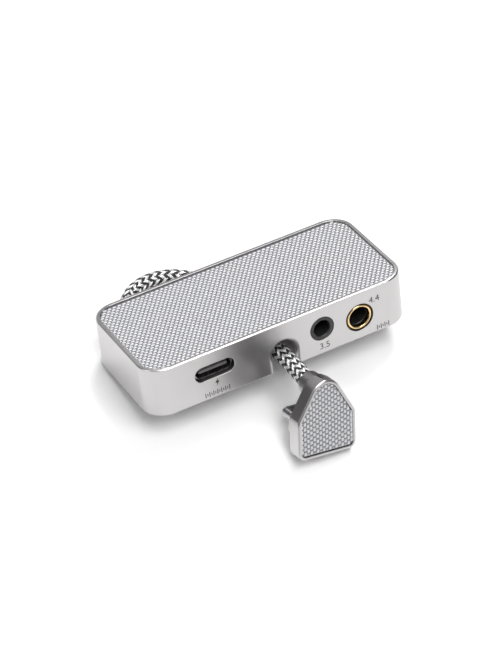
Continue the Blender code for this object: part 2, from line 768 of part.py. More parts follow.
def add_cord(axes):
    points = smooth_line(cord_route(), CORD_SPACING)
    add_part("cord", tube_mesh(points, CORD_RADIUS, 2), "braid", axes)


def plug_outline(offset):
    """The plug's house shape: round top, slanted shoulders, straight sides.

    The offset is measured outward from the edge of the woven inlay.
    """
    side = INLAY_HALF_WIDTH + offset
    base = -INLAY_BASE - offset
    top_radius = INLAY_TOP_RADIUS + offset
    corner = max(INLAY_CORNER_RADIUS + offset, 0.0004)
    reach = math.hypot(INLAY_HALF_WIDTH, INLAY_SHOULDER)
    direction = math.atan2(-INLAY_SHOULDER, INLAY_HALF_WIDTH)
    tangent = direction + math.acos(INLAY_TOP_RADIUS / reach)
    touch = (top_radius * math.cos(tangent), top_radius * math.sin(tangent))
    slope = (math.sin(tangent), -math.cos(tangent))
    along = (side - touch[0]) / slope[0]
    shoulder = touch[1] + along * slope[1]
    start = math.degrees(tangent)
    points = [(side, shoulder)]
    points += arc((0.0, 0.0), top_radius, start, 180 - start, 12)
    points += [(-side, shoulder)]
    points += arc((-side + corner, base + corner), corner, 180, 270, 4)
    points += arc((side - corner, base + corner), corner, 270, 360, 4)
    return points


def plug_disc(radius, start, end, sides=28):
    return cylinder_mesh((0.0, start, BOSS_RISE), (0.0, end, BOSS_RISE), radius, sides)


def add_plug_housing(axes):
    """The plug's metal shell with its cable boss and the collar of its tab."""
    outer = front_slab([plug_outline(PLUG_MARGIN)], 0.0, PLUG_DEPTH)
    housing = add_part("plug_housing", outer, "satin_aluminium", axes)
    rounding = housing.modifiers.new("edge_round", "BEVEL")
    rounding.width = 0.0002
    rounding.segments = 1
    rounding.limit_method = "ANGLE"
    rounding.angle_limit = math.radians(60)

    rear = PLUG_DEPTH
    boss = plug_disc(BOSS_RADIUS, rear - OVERLAP, rear + BOSS_LENGTH)
    shape(housing, add_cutter("plug_boss", boss, axes), "UNION")
    tab_centre = (0.0, -TAB_DROP)
    collar = front_slab([stadium(*COLLAR_SIZE, tab_centre)], rear - OVERLAP, rear + COLLAR_HEIGHT)
    shape(housing, add_cutter("plug_tab_collar", collar, axes), "UNION")

    recess = front_slab([plug_outline(GAP)], -CLEAR, PLUG_RECESS)
    shape(housing, add_cutter("plug_recess", recess, axes), "DIFFERENCE")
    chamber = front_slab([plug_outline(-0.0005)], -CLEAR, rear - PLUG_REAR_WALL)
    shape(housing, add_cutter("plug_chamber", chamber, axes), "DIFFERENCE")
    inside = PLUG_RECESS + OVERLAP
    bore = plug_disc(GROMMET_HOLE, inside, rear + BOSS_LENGTH + CLEAR, 24)
    shape(housing, add_cutter("plug_bore", bore, axes), "DIFFERENCE")
    slot = front_slab([stadium(TAB_SIZE[0] + 2 * GAP, TAB_SIZE[1] + 2 * GAP, tab_centre)],
                      inside, rear + COLLAR_HEIGHT + CLEAR)
    shape(housing, add_cutter("plug_slot", slot, axes), "DIFFERENCE")


def add_plug_inlay(axes):
    """The woven face of the plug on its film and its carrier plate."""
    layers = (
        ("plug_weave", "silver_weave", 0.00012, 0.00042, -GAP),
        ("plug_adhesive", "adhesive", 0.00047, 0.00053, -0.0004),
        ("plug_plate", "satin_aluminium", 0.00058, PLUG_RECESS - GAP, -GAP),
    )
    for name, material, front, back, offset in layers:
        add_part(name, front_slab([plug_outline(offset)], front, back), material, axes)


def add_plug_inside(axes):
    """Board, chip and leads inside the plug."""
    board_back = 0.0019
    add_part("plug_board", front_slab([plug_outline(-0.0007)], 0.0014, board_back),
             "circuit_board", axes)
    add_part("plug_chip", box_mesh((0.0, board_back + GAP + 0.00025, -0.0035),
                                   (0.0025, 0.0005, 0.0020)), "chip_resin", axes)
    for number, side in enumerate((-1, 1), start=1):
        x = side * 0.0006
        wire = cylinder_mesh((x, board_back + GAP, BOSS_RISE),
                             (x, PLUG_DEPTH - 0.0008, BOSS_RISE), WIRE_RADIUS, 8)
        add_part(f"plug_lead_{number}", wire, "red_insulation", axes)


def add_plug_tab(axes):
    """The plug's tab: steel shell, moulded insert, contacts and latches."""
    centre = (0.0, -TAB_DROP)
    tip = PLUG_DEPTH + COLLAR_HEIGHT + TAB_LENGTH
    inner = (TAB_SIZE[0] - 2 * TAB_WALL, TAB_SIZE[1] - 2 * TAB_WALL)
    shell = front_slab([stadium(*TAB_SIZE, centre), stadium(*inner, centre)], TAB_START, tip)
    add_part("plug_shell", shell, "steel", axes)

    insert_outline = stadium(inner[0] - 2 * GAP, inner[1] - 2 * GAP, centre)
    insert = add_part("plug_insert", front_slab([insert_outline], TAB_START, tip - 0.0002),
                      "black_plastic", axes)
    slot_start = tip - TAB_SLOT_DEPTH
    slot = box_mesh((0.0, (slot_start + tip + CLEAR) / 2, -TAB_DROP),
                    (TAB_SLOT[0], tip + CLEAR - slot_start, TAB_SLOT[1]))
    shape(insert, add_cutter("plug_insert_slot", slot, axes), "DIFFERENCE")

    for name, side in (("plug_contacts_upper", 1), ("plug_contacts_lower", -1)):
        middle = -TAB_DROP + side * (TAB_SLOT[1] / 2 - GAP - CONTACT_THICKNESS / 2)
        comb = contact_comb(0.0, slot_start + GAP, tip - CLEAR)
        add_part(name, flat_slab([comb], middle - CONTACT_THICKNESS / 2,
                                 middle + CONTACT_THICKNESS / 2), "gold_plate", axes)

    for name, side in (("plug_latch_right", 1), ("plug_latch_left", -1)):
        latch = add_part(name, latch_mesh(side), "steel", axes)
        latch.location = (side * LATCH_X, slot_start + 0.0008, -TAB_DROP)


def latch_mesh(side):
    """A leaf along +Y from its pivot, with a bump towards the tab's middle."""
    t = LATCH_THICKNESS / 2
    bump = side * LATCH_BUMP
    end = LATCH_LENGTH
    crest = end - 0.0005
    foot = end - 0.0012
    outline = [(-t, 0.0), (t, 0.0), (t, foot), (t - bump, crest), (t, end), (-t, end),
               (-t - bump, crest), (-t, foot)]
    return outline_mesh([outline], LATCH_WIDTH, raised(-LATCH_WIDTH / 2))


def points_of(names):
    """World corners of the named parts."""
    bpy.context.view_layer.update()
    graph = bpy.context.evaluated_depsgraph_get()
    corners = []
    for name in names:
        part = bpy.data.objects[name].evaluated_get(graph)
        mesh = part.to_mesh()
        corners += [tuple(part.matrix_world @ vertex.co) for vertex in mesh.vertices]
        part.to_mesh_clear()
    return np.array(corners)


def lean_back(case_axes):
    """Leans the case until it stands on its rear edge and the plug's foot.

    The zero of the world then lies under the middle of the case's box.
    """
    case = points_of(["case_body", "cord_grommet"])
    plug = points_of(["plug_housing", "plug_shell"])

    def lowest(points, lean):
        return (points[:, 2] * math.cos(lean) - points[:, 1] * math.sin(lean)).min()

    low = 0.0
    high = math.radians(30)
    for _ in range(40):
        lean = (low + high) / 2
        if lowest(plug, lean) > lowest(case, lean):
            high = lean
        else:
            low = lean
    turned = case @ np.array(Matrix.Rotation(-lean, 3, "X")).T
    middle = (turned.min(axis=0) + turned.max(axis=0)) / 2
    case_axes.rotation_euler = (-lean, 0.0, 0.0)
    case_axes.location = (-middle[0], -middle[1], -turned[:, 2].min())


def main():
    start_empty_scene()
    case_axes = make_axes("case_axes")
    plug_axes = make_axes("plug_axes", case_axes)
    plug_axes.matrix_local = plug_matrix()

    add_case_body(case_axes)
    add_lid(case_axes)
    add_board(case_axes)
    add_usb_socket(case_axes)
    add_jack("jack_small", SMALL_JACK, case_axes)
    add_jack("jack_large", LARGE_JACK, case_axes)
    add_gold_sleeve(case_axes)
    add_board_parts(case_axes)
    add_cord_anchor(case_axes)
    add_cord(case_axes)
    add_plug_housing(plug_axes)
    add_plug_inlay(plug_axes)
    add_plug_inside(plug_axes)
    add_plug_tab(plug_axes)
    lean_back(case_axes)


main()
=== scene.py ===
"""Looks of a pocket USB headphone amplifier with a looped braided lead.

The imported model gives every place. The case, the plug and their woven faces
are drawn in the case's own axes, which lean back with the case.
"""

import json
import math

import bmesh
import bpy
import numpy as np
from bpy.props import FloatProperty, FloatVectorProperty, IntProperty, PointerProperty
from mathutils import Matrix, Vector


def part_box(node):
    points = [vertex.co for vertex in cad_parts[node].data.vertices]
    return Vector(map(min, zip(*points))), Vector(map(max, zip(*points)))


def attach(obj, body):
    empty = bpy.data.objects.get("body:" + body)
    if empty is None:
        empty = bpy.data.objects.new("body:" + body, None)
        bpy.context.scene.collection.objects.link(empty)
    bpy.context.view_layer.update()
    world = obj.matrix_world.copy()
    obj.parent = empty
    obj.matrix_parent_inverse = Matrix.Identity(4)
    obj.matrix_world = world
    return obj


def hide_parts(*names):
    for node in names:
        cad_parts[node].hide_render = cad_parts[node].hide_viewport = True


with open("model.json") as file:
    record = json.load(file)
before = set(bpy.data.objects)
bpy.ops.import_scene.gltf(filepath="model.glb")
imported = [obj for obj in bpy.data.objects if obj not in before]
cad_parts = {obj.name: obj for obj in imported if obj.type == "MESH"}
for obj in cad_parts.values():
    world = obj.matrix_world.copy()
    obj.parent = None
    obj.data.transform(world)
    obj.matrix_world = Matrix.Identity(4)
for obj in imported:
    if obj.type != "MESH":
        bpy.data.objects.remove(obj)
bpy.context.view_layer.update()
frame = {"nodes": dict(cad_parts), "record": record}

bl_info = {
    "name": "Pocket Headphone Amplifier",
    "version": (1, 0, 0),
    "blender": (4, 5, 0),
    "location": "View3D > Sidebar > Amplifier",
    "description": "Builds a metal headphone amplifier with woven faces and a braided lead",
    "category": "Add Mesh",
}

# The case leans back about X; its underside mount tells by how much
UNDERSIDE = frame["record"]["mounts"][0]
LEAN = math.atan2(-UNDERSIDE["axis"][1], -UNDERSIDE["axis"][2])
CASE_AXES = (Matrix.Translation((0.0, UNDERSIDE["pos_m"][1], UNDERSIDE["pos_m"][2]))
             @ Matrix.Rotation(-LEAN, 4, "X"))

# The plug in the case's axes: +X across, +Y towards its tab, +Z to its round
# top, with zero on its front face at the centre of that round top
PLUG_AXES = (CASE_AXES @ Matrix.Translation((0.00061, -0.03076, 0.00303))
             @ Matrix.Rotation(math.radians(1.0), 4, "Z")
             @ Matrix.Rotation(math.radians(9.3), 4, "Y")
             @ Matrix.Rotation(math.radians(-9.0), 4, "X"))

GAP = 0.00006


def size(name, default, description):
    return FloatProperty(name=name, description=description, default=default,
                         unit="LENGTH", precision=5, min=0.0)


def colour(name, default, description):
    return FloatVectorProperty(name=name, description=description, default=default,
                               subtype="COLOR", size=3, min=0.0, max=1.0)


class AmplifierCaseSizes(bpy.types.PropertyGroup):
    length: size("Length", 0.0610, "Case length along the front")
    width: size("Width", 0.0279, "Case depth from front to back")
    height: size("Height", 0.01155, "Case height at the rim")
    corner: size("Corner Radius", 0.0051, "Radius of the four upright corners")
    chamfer: size("Top Chamfer", 0.0003, "Bevel round the top edge")
    foot_round: size("Bottom Round", 0.00035, "Radius of the bottom edge")
    rim: size("Rim Width", 0.0009, "Width of the rim round the woven face")
    wall: size("Wall", 0.0013, "Wall thickness")
    floor: size("Floor", 0.0010, "Floor thickness")
    ledge: size("Ledge Height", 0.00989, "Height of the ledge that the lid rests on")
    weave_top: size("Weave Height", 0.01125, "Height of the woven face's top")
    tunnel_x: size("Tunnel Place", 0.0004, "Middle of the tunnel along the front")
    tunnel_width: size("Tunnel Width", 0.0054, "Width of the tunnel for the lead")
    tunnel_height: size("Tunnel Height", 0.00675, "Height of the tunnel's arch")
    flare: size("Tunnel Flare", 0.0010, "Radius of the flare at both tunnel mouths")
    opening_round: size("Opening Radius", 0.00014, "Radius of the socket openings' edges")
    board: size("Board Height", 0.0084, "Height of the board's lower face")


class AmplifierSocketSizes(bpy.types.PropertyGroup):
    usb_x: size("USB Place", 0.0156, "USB socket's distance left of the middle")
    usb_z: size("USB Height", 0.0067, "Height of the USB socket's middle")
    usb_length: size("USB Opening Length", 0.0091, "Length of the USB opening")
    usb_height: size("USB Opening Height", 0.00347, "Height of the USB opening")
    usb_recess: size("USB Recess", 0.0009, "How far the USB shell lies behind the front")
    small_x: size("Small Socket Place", 0.0095, "3.5 mm socket's distance right of the middle")
    small_z: size("Small Socket Height", 0.0063, "Height of the 3.5 mm socket's axis")
    small_hole: size("Small Hole Radius", 0.00279, "Radius of the case's hole for the 3.5 mm socket")
    small_bore: size("Small Bore Radius", 0.00179, "Radius of the 3.5 mm socket's bore")
    large_x: size("Large Socket Place", 0.0184, "4.4 mm socket's distance right of the middle")
    large_z: size("Large Socket Height", 0.00533, "Height of the 4.4 mm socket's axis")
    large_hole: size("Large Hole Radius", 0.00324, "Radius of the case's hole for the 4.4 mm socket")
    large_bore: size("Large Bore Radius", 0.00232, "Radius of the 4.4 mm socket's bore")
    nose_recess: size("Nose Recess", 0.00005, "How far the sockets' noses lie behind the front")
    sleeve_length: size("Sleeve Length", 0.0012, "Length of the gold sleeve")
    sleeve_inner: size("Sleeve Bore", 0.00238, "Inner radius of the gold sleeve")
    sleeve_lip: size("Sleeve Lip", 0.00287, "Outer radius of the gold sleeve's lip")
    sleeve_groove: size("Sleeve Groove", 0.00040, "Depth of the groove round the lip")


class AmplifierWeaveSizes(bpy.types.PropertyGroup):
    bright_pitch: size("Bright Yarn Pitch", 0.000727, "Distance between the bright yarns")
    dim_pitch: size("Dim Yarn Pitch", 0.000555, "Distance between the crossing yarns")
    bright_width: size("Bright Yarn Width", 0.00064, "Width of a bright yarn")
    dim_width: size("Dim Yarn Width", 0.00038, "Width of a crossing yarn")
    yarn_thickness: size("Yarn Thickness", 0.00013, "Thickness of every yarn")
    wave: size("Wave", 0.000055, "How far a yarn rises and falls")


class AmplifierCordSizes(bpy.types.PropertyGroup):
    radius: size("Radius", 0.00183, "Radius of the braided lead")
    core: size("Core Radius", 0.00146, "Radius of the dark core under the braid")
    lead: size("Braid Lead", 0.0122, "Length in which a strand goes round once")
    yarn: size("Yarn Radius", 0.000115, "Radius of one yarn of the braid")
    spacing: size("Yarn Spacing", 0.00021, "Distance between the yarns of a strand")
    wave: size("Wave", 0.00010, "How far a strand rises over two others and dips under two")
    strands: IntProperty(name="Strands", description="Strands each way, an even number",
                         default=12, min=4, max=24)
    turn: FloatProperty(name="Turn", description="Turn of the braid about the lead",
                        default=math.radians(8.0), unit="ROTATION")
    slide: size("Slide", 0.0, "How far the braid's pattern starts along the lead")


class AmplifierPlugSizes(bpy.types.PropertyGroup):
    half_width: size("Inlay Half Width", 0.0060, "Half the width of the woven inlay")
    base: size("Inlay Base", 0.01225, "Inlay's base below the round top's centre")
    shoulder: size("Inlay Shoulder", 0.0047, "Where the slanted sides begin")
    top_radius: size("Inlay Top Radius", 0.0028, "Radius of the inlay's round top")
    corner: size("Inlay Corner", 0.0010, "Radius of the inlay's lower corners")
    margin: size("Rim Width", 0.0008, "Width of the metal rim round the inlay")
    depth: size("Depth", 0.0039, "Thickness of the housing")
    recess: size("Recess", 0.0009, "Depth of the seat under the inlay")
    rear_wall: size("Rear Wall", 0.0009, "Thickness of the rear wall")
    boss_radius: size("Boss Radius", 0.0026, "Radius of the cable boss")
    boss_length: size("Boss Length", 0.0031, "Length of the cable boss")
    boss_rise: size("Boss Rise", 0.0006, "Boss axis above the round top's centre")
    tab_drop: size("Tab Drop", 0.0069, "Tab's middle below the round top's centre")
    tab_width: size("Tab Width", 0.00825, "Width of the plug's tab")
    tab_height: size("Tab Height", 0.0024, "Height of the plug's tab")
    tab_length: size("Tab Length", 0.00665, "Length of the plug's tab")
    collar_width: size("Collar Width", 0.0132, "Width of the collar round the tab")
    collar_height: size("Collar Height", 0.0046, "Height of the collar round the tab")
    collar_rise: size("Collar Rise", 0.00085, "How far the collar stands out")


class AmplifierColours(bpy.types.PropertyGroup):
    metal: colour("Metal", (0.50, 0.49, 0.49), "Satin aluminium")
    yarn: colour("Bright Yarn", (0.70, 0.70, 0.72), "Bright yarn of the woven faces")
    cross_yarn: colour("Dim Yarn", (0.27, 0.27, 0.30), "Crossing yarn of the woven faces")
    braid: colour("Pale Strands", (0.86, 0.86, 0.87), "Silver strands of the lead")
    core: colour("Dark Strands", (0.012, 0.012, 0.013), "Black strands and core of the lead")
    plastic: colour("Black Plastic", (0.018, 0.018, 0.019), "Sockets and inserts")
    gold: colour("Gold", (0.83, 0.62, 0.33), "Contacts and the socket's ring")
    ink: colour("Ink", (0.03, 0.03, 0.03), "Printed marks")
    paper: colour("Floor", (0.95, 0.95, 0.95), "Studio floor")


class AmplifierStageSizes(bpy.types.PropertyGroup):
    azimuth: FloatProperty(name="Azimuth", description="Camera's turn about the case's upright",
                           default=math.radians(24.317), unit="ROTATION")
    elevation: FloatProperty(name="Elevation", description="Camera's height angle over the case",
                             default=math.radians(35.735), unit="ROTATION")
    roll: FloatProperty(name="Roll", description="Camera's turn about its own line of sight",
                        default=math.radians(7.03), unit="ROTATION")
    distance: size("Distance", 0.5875, "Distance from the camera to its aim")
    lens: FloatProperty(name="Lens", description="Focal length in millimetres", default=151.55)
    aim: FloatVectorProperty(name="Aim", description="Point looked at, in the case's axes",
                             default=(-0.00052, 0.00097, 0.00093), unit="LENGTH", size=3)


GROUPS = {
    "amp_case": AmplifierCaseSizes,
    "amp_sockets": AmplifierSocketSizes,
    "amp_weave": AmplifierWeaveSizes,
    "amp_cord": AmplifierCordSizes,
    "amp_plug": AmplifierPlugSizes,
    "amp_colours": AmplifierColours,
    "amp_stage": AmplifierStageSizes,
}


# Meshes

def link(name, mesh, materials=()):
    """A new piece whose mesh already lies where the piece goes."""
    piece = bpy.data.objects.new(name, mesh)
    for material in materials:
        mesh.materials.append(material)
    bpy.context.scene.collection.objects.link(piece)
    return piece


def mesh_from(shape):
    mesh = bpy.data.meshes.new("shape")
    shape.to_mesh(mesh)
    shape.free()
    return mesh


def arc(centre, radius, start, end, steps):
    angles = np.radians(np.linspace(start, end, steps + 1))
    return [(centre[0] + radius * math.cos(a), centre[1] + radius * math.sin(a)) for a in angles]


def rounded_rectangle(length, width, radius, steps=16):
    x, y = length / 2 - radius, width / 2 - radius
    points = []
    for turn, (side_x, side_y) in enumerate(((1, 1), (-1, 1), (-1, -1), (1, -1))):
        points += arc((side_x * x, side_y * y), radius, 90 * turn, 90 * turn + 90, steps)
    return points


def stadium(length, width, centre=(0.0, 0.0), steps=20):
    radius = width / 2
    x = length / 2 - radius
    return (arc((centre[0] + x, centre[1]), radius, -90, 90, steps)
            + arc((centre[0] - x, centre[1]), radius, 90, 270, steps))


def circle(centre, radius, steps=64):
    return arc(centre, radius, 0, 360 - 360 / steps, steps - 1)


def bridge(shape, rows):
    """Joins each row of vertices to the next with a belt of faces."""
    for low, high in zip(rows, rows[1:]):
        for i in range(len(low)):
            j = (i + 1) % len(low)
            shape.faces.new((low[i], low[j], high[j], high[i]))


def cap(shape, rows):
    shape.faces.new(reversed(rows[0]))
    shape.faces.new(rows[-1])


def lofted(rings, sleeve=False):
    """A closed solid through rings of equally many points.

    It is capped at both ends, or as a sleeve its last ring joins its first.
    """
    shape = bmesh.new()
    rows = [[shape.verts.new(point) for point in ring] for ring in rings]
    if sleeve:
        bridge(shape, rows + rows[:1])
    else:
        bridge(shape, rows)
        cap(shape, rows)
    bmesh.ops.recalc_face_normals(shape, faces=shape.faces)
    return mesh_from(shape)


def upright(outline, height):
    return [(x, y, height) for x, y in outline]


def facing(outline, depth):
    return [(x, depth, z) for x, z in outline]


def mouth_steps(radius, face, direction, steps=5):
    """(offset, depth) down a rounded mouth that starts outside its face."""
    pairs = [(radius, face - direction * 0.001)]
    for step in range(steps + 1):
        angle = math.pi / 2 * step / steps
        sunk = radius * (1 - math.cos(angle))
        pairs.append((radius * (1 - math.sin(angle)), face + direction * sunk))
    return pairs


def turned(profile, place, steps=64):
    """A closed outline of (radius, height) turned about Z, then put in place."""
    angles = np.linspace(0, 2 * math.pi, steps, endpoint=False)
    rings = [[(radius * math.cos(a), radius * math.sin(a), height) for a in angles]
             for radius, height in profile]
    mesh = lofted(rings, sleeve=True)
    mesh.transform(place)
    return mesh


def round_bar(centre, steps):
    """A round solid lying along Y, through (radius, depth) steps."""
    return lofted([facing(circle(centre, radius), depth) for radius, depth in steps])


def oblong_bar(sizes, centre, steps, sleeve=False):
    """A solid with round ends lying along Y, through (growth, depth) steps."""
    length, height = sizes
    return lofted([facing(stadium(length + 2 * grow, height + 2 * grow, centre), depth)
                   for grow, depth in steps], sleeve)


def block(centre, sizes):
    shape = bmesh.new()
    bmesh.ops.create_cube(shape, size=1.0)
    bmesh.ops.scale(shape, vec=sizes, verts=shape.verts)
    bmesh.ops.translate(shape, vec=centre, verts=shape.verts)
    return mesh_from(shape)


def rod(start, end, radius, steps=32):
    start = Vector(start)
    along = Vector(end) - start
    place = (Matrix.Translation(start + along / 2)
             @ along.to_track_quat("Z", "Y").to_matrix().to_4x4())
    shape = bmesh.new()
    bmesh.ops.create_cone(shape, cap_ends=True, segments=steps, radius1=radius,
                          radius2=radius, depth=along.length, matrix=place)
    return mesh_from(shape)


def carved(name, mesh, tools, axes, materials):
    """Joins and cuts a mesh by its tools in order, and finishes its edges.

    The tools are (operation, mesh) pairs in the piece's own axes.
    """
    piece = link(name, mesh, materials)
    helpers = []
    for operation, tool in tools:
        helper = link("tool", tool)
        helpers.append(helper)
        boolean = piece.modifiers.new("shape", "BOOLEAN")
        boolean.operation = operation
        boolean.solver = "EXACT"
        boolean.object = helper
    freeze(piece)
    for helper in helpers:
        bpy.data.objects.remove(helper, do_unlink=True)
    piece.data.transform(axes)
    smooth_faces(piece)
    return piece


def evaluated(piece):
    graph = bpy.context.evaluated_depsgraph_get()
    return bpy.data.meshes.new_from_object(piece.evaluated_get(graph))


def freeze(piece):
    """Makes a piece's modifiers part of its mesh."""
    mesh = evaluated(piece)
    piece.modifiers.clear()
    piece.data = mesh


def smooth_faces(piece, angle=32.0):
    """Smooth rounds and flat faces, with hard edges kept sharp."""
    piece.data.shade_smooth()
    piece.data.set_sharp_from_angle(angle=math.radians(angle))
    weighted = piece.modifiers.new("weighted", "WEIGHTED_NORMAL")
    weighted.keep_sharp = True
    weighted.weight = 80
    freeze(piece)


def stand_for(piece, node):
    """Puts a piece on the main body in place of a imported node."""
    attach(piece, "root")
    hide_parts(node)


# Materials

class Finish:
    """A node material: its shader, its nodes and a short way to join them."""

    def __init__(self, name, colour, roughness, metallic=0.0, **sockets):
        self.material = bpy.data.materials.new(name)
        self.material.use_nodes = True
        self.tree = self.material.node_tree
        self.shader = self.tree.nodes["Principled BSDF"]
        self.shader.inputs["Base Color"].default_value = (*colour, 1.0)
        self.shader.inputs["Roughness"].default_value = roughness
        self.shader.inputs["Metallic"].default_value = metallic
        for socket, value in sockets.items():
            self.shader.inputs[socket.replace("_", " ")].default_value = value
        self.base = colour
        self.rough = roughness
        self.place = self.tree.nodes.new("ShaderNodeTexCoord").outputs["Object"]

    def node(self, kind, **settings):
        made = self.tree.nodes.new(kind)
        for name, value in settings.items():
            if hasattr(made, name):
                setattr(made, name, value)
            else:
                made.inputs[name.replace("_", " ")].default_value = value
        return made

    def join(self, source, target):
        self.tree.links.new(source, target)

    def mapped(self, scale, turn=(0.0, 0.0, 0.0)):
        mapping = self.node("ShaderNodeMapping", Scale=scale, Rotation=turn)
        self.join(self.place, mapping.inputs["Vector"])
        return mapping.outputs["Vector"]

    def noise(self, vector, scale, detail=3.0):
        noise = self.node("ShaderNodeTexNoise", Scale=scale, Detail=detail)
        self.join(vector, noise.inputs["Vector"])
        return noise.outputs["Fac"]

    def ranged(self, value, low, high, start=0.0, end=1.0):
        scaled = self.node("ShaderNodeMapRange", From_Min=start, From_Max=end, To_Min=low, To_Max=high)
        self.join(value, scaled.inputs["Value"])
        return scaled.outputs["Result"]

    def vary_roughness(self, value, spread, start=0.3, end=0.7):
        self.join(self.ranged(value, self.rough - spread, self.rough + spread, start, end),
                  self.shader.inputs["Roughness"])

    def vary_colour(self, value, darkest, start=0.3, end=0.7):
        mix = self.node("ShaderNodeMix", data_type="RGBA")
        colours = [socket for socket in mix.inputs if socket.type == "RGBA"]
        colours[0].default_value = (*[part * darkest for part in self.base], 1.0)
        colours[1].default_value = (*self.base, 1.0)
        self.join(self.ranged(value, 0.0, 1.0, start, end), mix.inputs["Factor"])
        result = [socket for socket in mix.outputs if socket.type == "RGBA"][0]
        self.join(result, self.shader.inputs["Base Color"])

    def bump(self, value, depth, strength=1.0):
        bump = self.node("ShaderNodeBump", Strength=strength, Distance=depth)
        self.join(value, bump.inputs["Height"])
        self.join(bump.outputs["Normal"], self.shader.inputs["Normal"])


def satin_aluminium():
    finish = Finish("satin_aluminium", tint("metal"), 0.30, 1.0, Anisotropic=0.3)
    blasted = finish.noise(finish.place, 9000.0, 2.0)
    finish.vary_roughness(blasted, 0.01)
    finish.vary_colour(finish.noise(finish.place, 160.0), 0.985)
    finish.bump(blasted, 0.0000006, 0.03)
    return finish.material


def silver_yarn(name, colour, shade):
    finish = Finish(name, colour, 0.36, 0.25, Coat_Weight=0.35, Coat_Roughness=0.22)
    fibres = finish.noise(finish.mapped((900, 2600, 900)), 6.0, 2.0)
    finish.vary_colour(fibres, shade)
    finish.vary_roughness(fibres, 0.08)
    finish.bump(fibres, 0.00001, 0.5)
    return finish.material


def backing_cloth():
    finish = Finish("backing_cloth", (0.42, 0.42, 0.45), 0.7)
    finish.vary_colour(finish.noise(finish.place, 3000.0), 0.7)
    return finish.material


def strand(name, colour, roughness, metallic):
    finish = Finish(name, colour, roughness, metallic, Coat_Weight=0.3, Coat_Roughness=0.15)
    fibres = finish.noise(finish.place, 4200.0, 2.0)
    finish.vary_colour(fibres, 0.82)
    finish.vary_roughness(fibres, 0.06)
    finish.bump(fibres, 0.000012, 0.6)
    return finish.material


def moulded(name, colour, roughness=0.38):
    finish = Finish(name, colour, roughness)
    grain = finish.noise(finish.place, 7000.0, 2.0)
    finish.vary_colour(finish.noise(finish.place, 500.0), 0.8)
    finish.vary_roughness(grain, 0.05)
    finish.bump(grain, 0.000004, 0.4)
    return finish.material


def plated(name, colour, roughness):
    finish = Finish(name, colour, roughness, 1.0)
    drawn = finish.noise(finish.mapped((400, 3000, 400)), 1.0, 3.0)
    finish.vary_roughness(drawn, 0.04)
    finish.vary_colour(finish.noise(finish.place, 700.0), 0.94)
    finish.bump(drawn, 0.0000008, 0.1)
    return finish.material


def solder_mask():
    finish = Finish("circuit_board", (0.010, 0.060, 0.030), 0.35, Coat_Weight=0.3)
    tracks = finish.node("ShaderNodeTexBrick", Scale=900.0)
    tracks.inputs["Color1"].default_value = (0.012, 0.075, 0.038, 1.0)
    tracks.inputs["Color2"].default_value = (0.008, 0.048, 0.024, 1.0)
    tracks.inputs["Mortar"].default_value = (0.03, 0.12, 0.06, 1.0)
    finish.join(finish.mapped((1, 1, 1), (LEAN, 0.0, 0.0)), tracks.inputs["Vector"])
    finish.join(tracks.outputs["Color"], finish.shader.inputs["Base Color"])
    finish.vary_roughness(finish.noise(finish.place, 1500.0), 0.08)
    return finish.material


def printing_ink():
    finish = Finish("printing_ink", tint("ink"), 0.6)
    finish.vary_colour(finish.noise(finish.place, 4000.0), 0.8)
    return finish.material


def studio_paper():
    finish = Finish("studio_paper", tint("paper"), 0.85)
    finish.vary_colour(finish.noise(finish.place, 30.0), 0.995)
    return finish.material


MAKERS = {
    "satin_aluminium": satin_aluminium,
    "bright_yarn": lambda: silver_yarn("bright_yarn", tint("yarn"), 0.86),
    "dim_yarn": lambda: silver_yarn("dim_yarn", tint("cross_yarn"), 0.80),
    "backing_cloth": backing_cloth,
    "pale_strand": lambda: strand("pale_strand", tint("braid"), 0.28, 0.6),
    "dark_strand": lambda: strand("dark_strand", tint("core"), 0.42, 0.0),
    "black_plastic": lambda: moulded("black_plastic", tint("plastic")),
    "grey_plastic": lambda: moulded("grey_plastic", (0.14, 0.14, 0.15)),
    "chip_resin": lambda: moulded("chip_resin", (0.016, 0.016, 0.018), 0.5),
    "red_insulation": lambda: moulded("red_insulation", (0.50, 0.04, 0.03), 0.4),
    "adhesive": lambda: moulded("adhesive", (0.82, 0.80, 0.72), 0.5),
    "ceramic_tan": lambda: moulded("ceramic_tan", (0.42, 0.31, 0.21), 0.45),
    "gold_plate": lambda: plated("gold_plate", tint("gold"), 0.22),
    # Dark brown plating for the sleeve's groove: painted shade where the narrow groove lies in shadow
    "painted_groove_shade": lambda: plated("painted_groove_shade", (0.10, 0.06, 0.035), 0.5),
    "steel": lambda: plated("steel", (0.58, 0.58, 0.60), 0.26),
    "circuit_board": solder_mask,
    "printing_ink": printing_ink,
    "studio_paper": studio_paper,
}


def material(name):
    """A named material, made the first time it is asked for."""
    made = bpy.data.materials.get("look_" + name)
    if made is None:
        made = MAKERS[name]()
        made.name = "look_" + name
    return made


def dress(piece, name):
    """Gives a piece one material and no other."""
    piece.data.materials.clear()
    piece.data.materials.append(material(name))


def tint(name):
    return getattr(bpy.context.scene.amp_colours, name)


# Outlines in the case's and the plug's axes

def case_outline(case, inset):
    return rounded_rectangle(case.length - 2 * inset, case.width - 2 * inset, case.corner - inset)


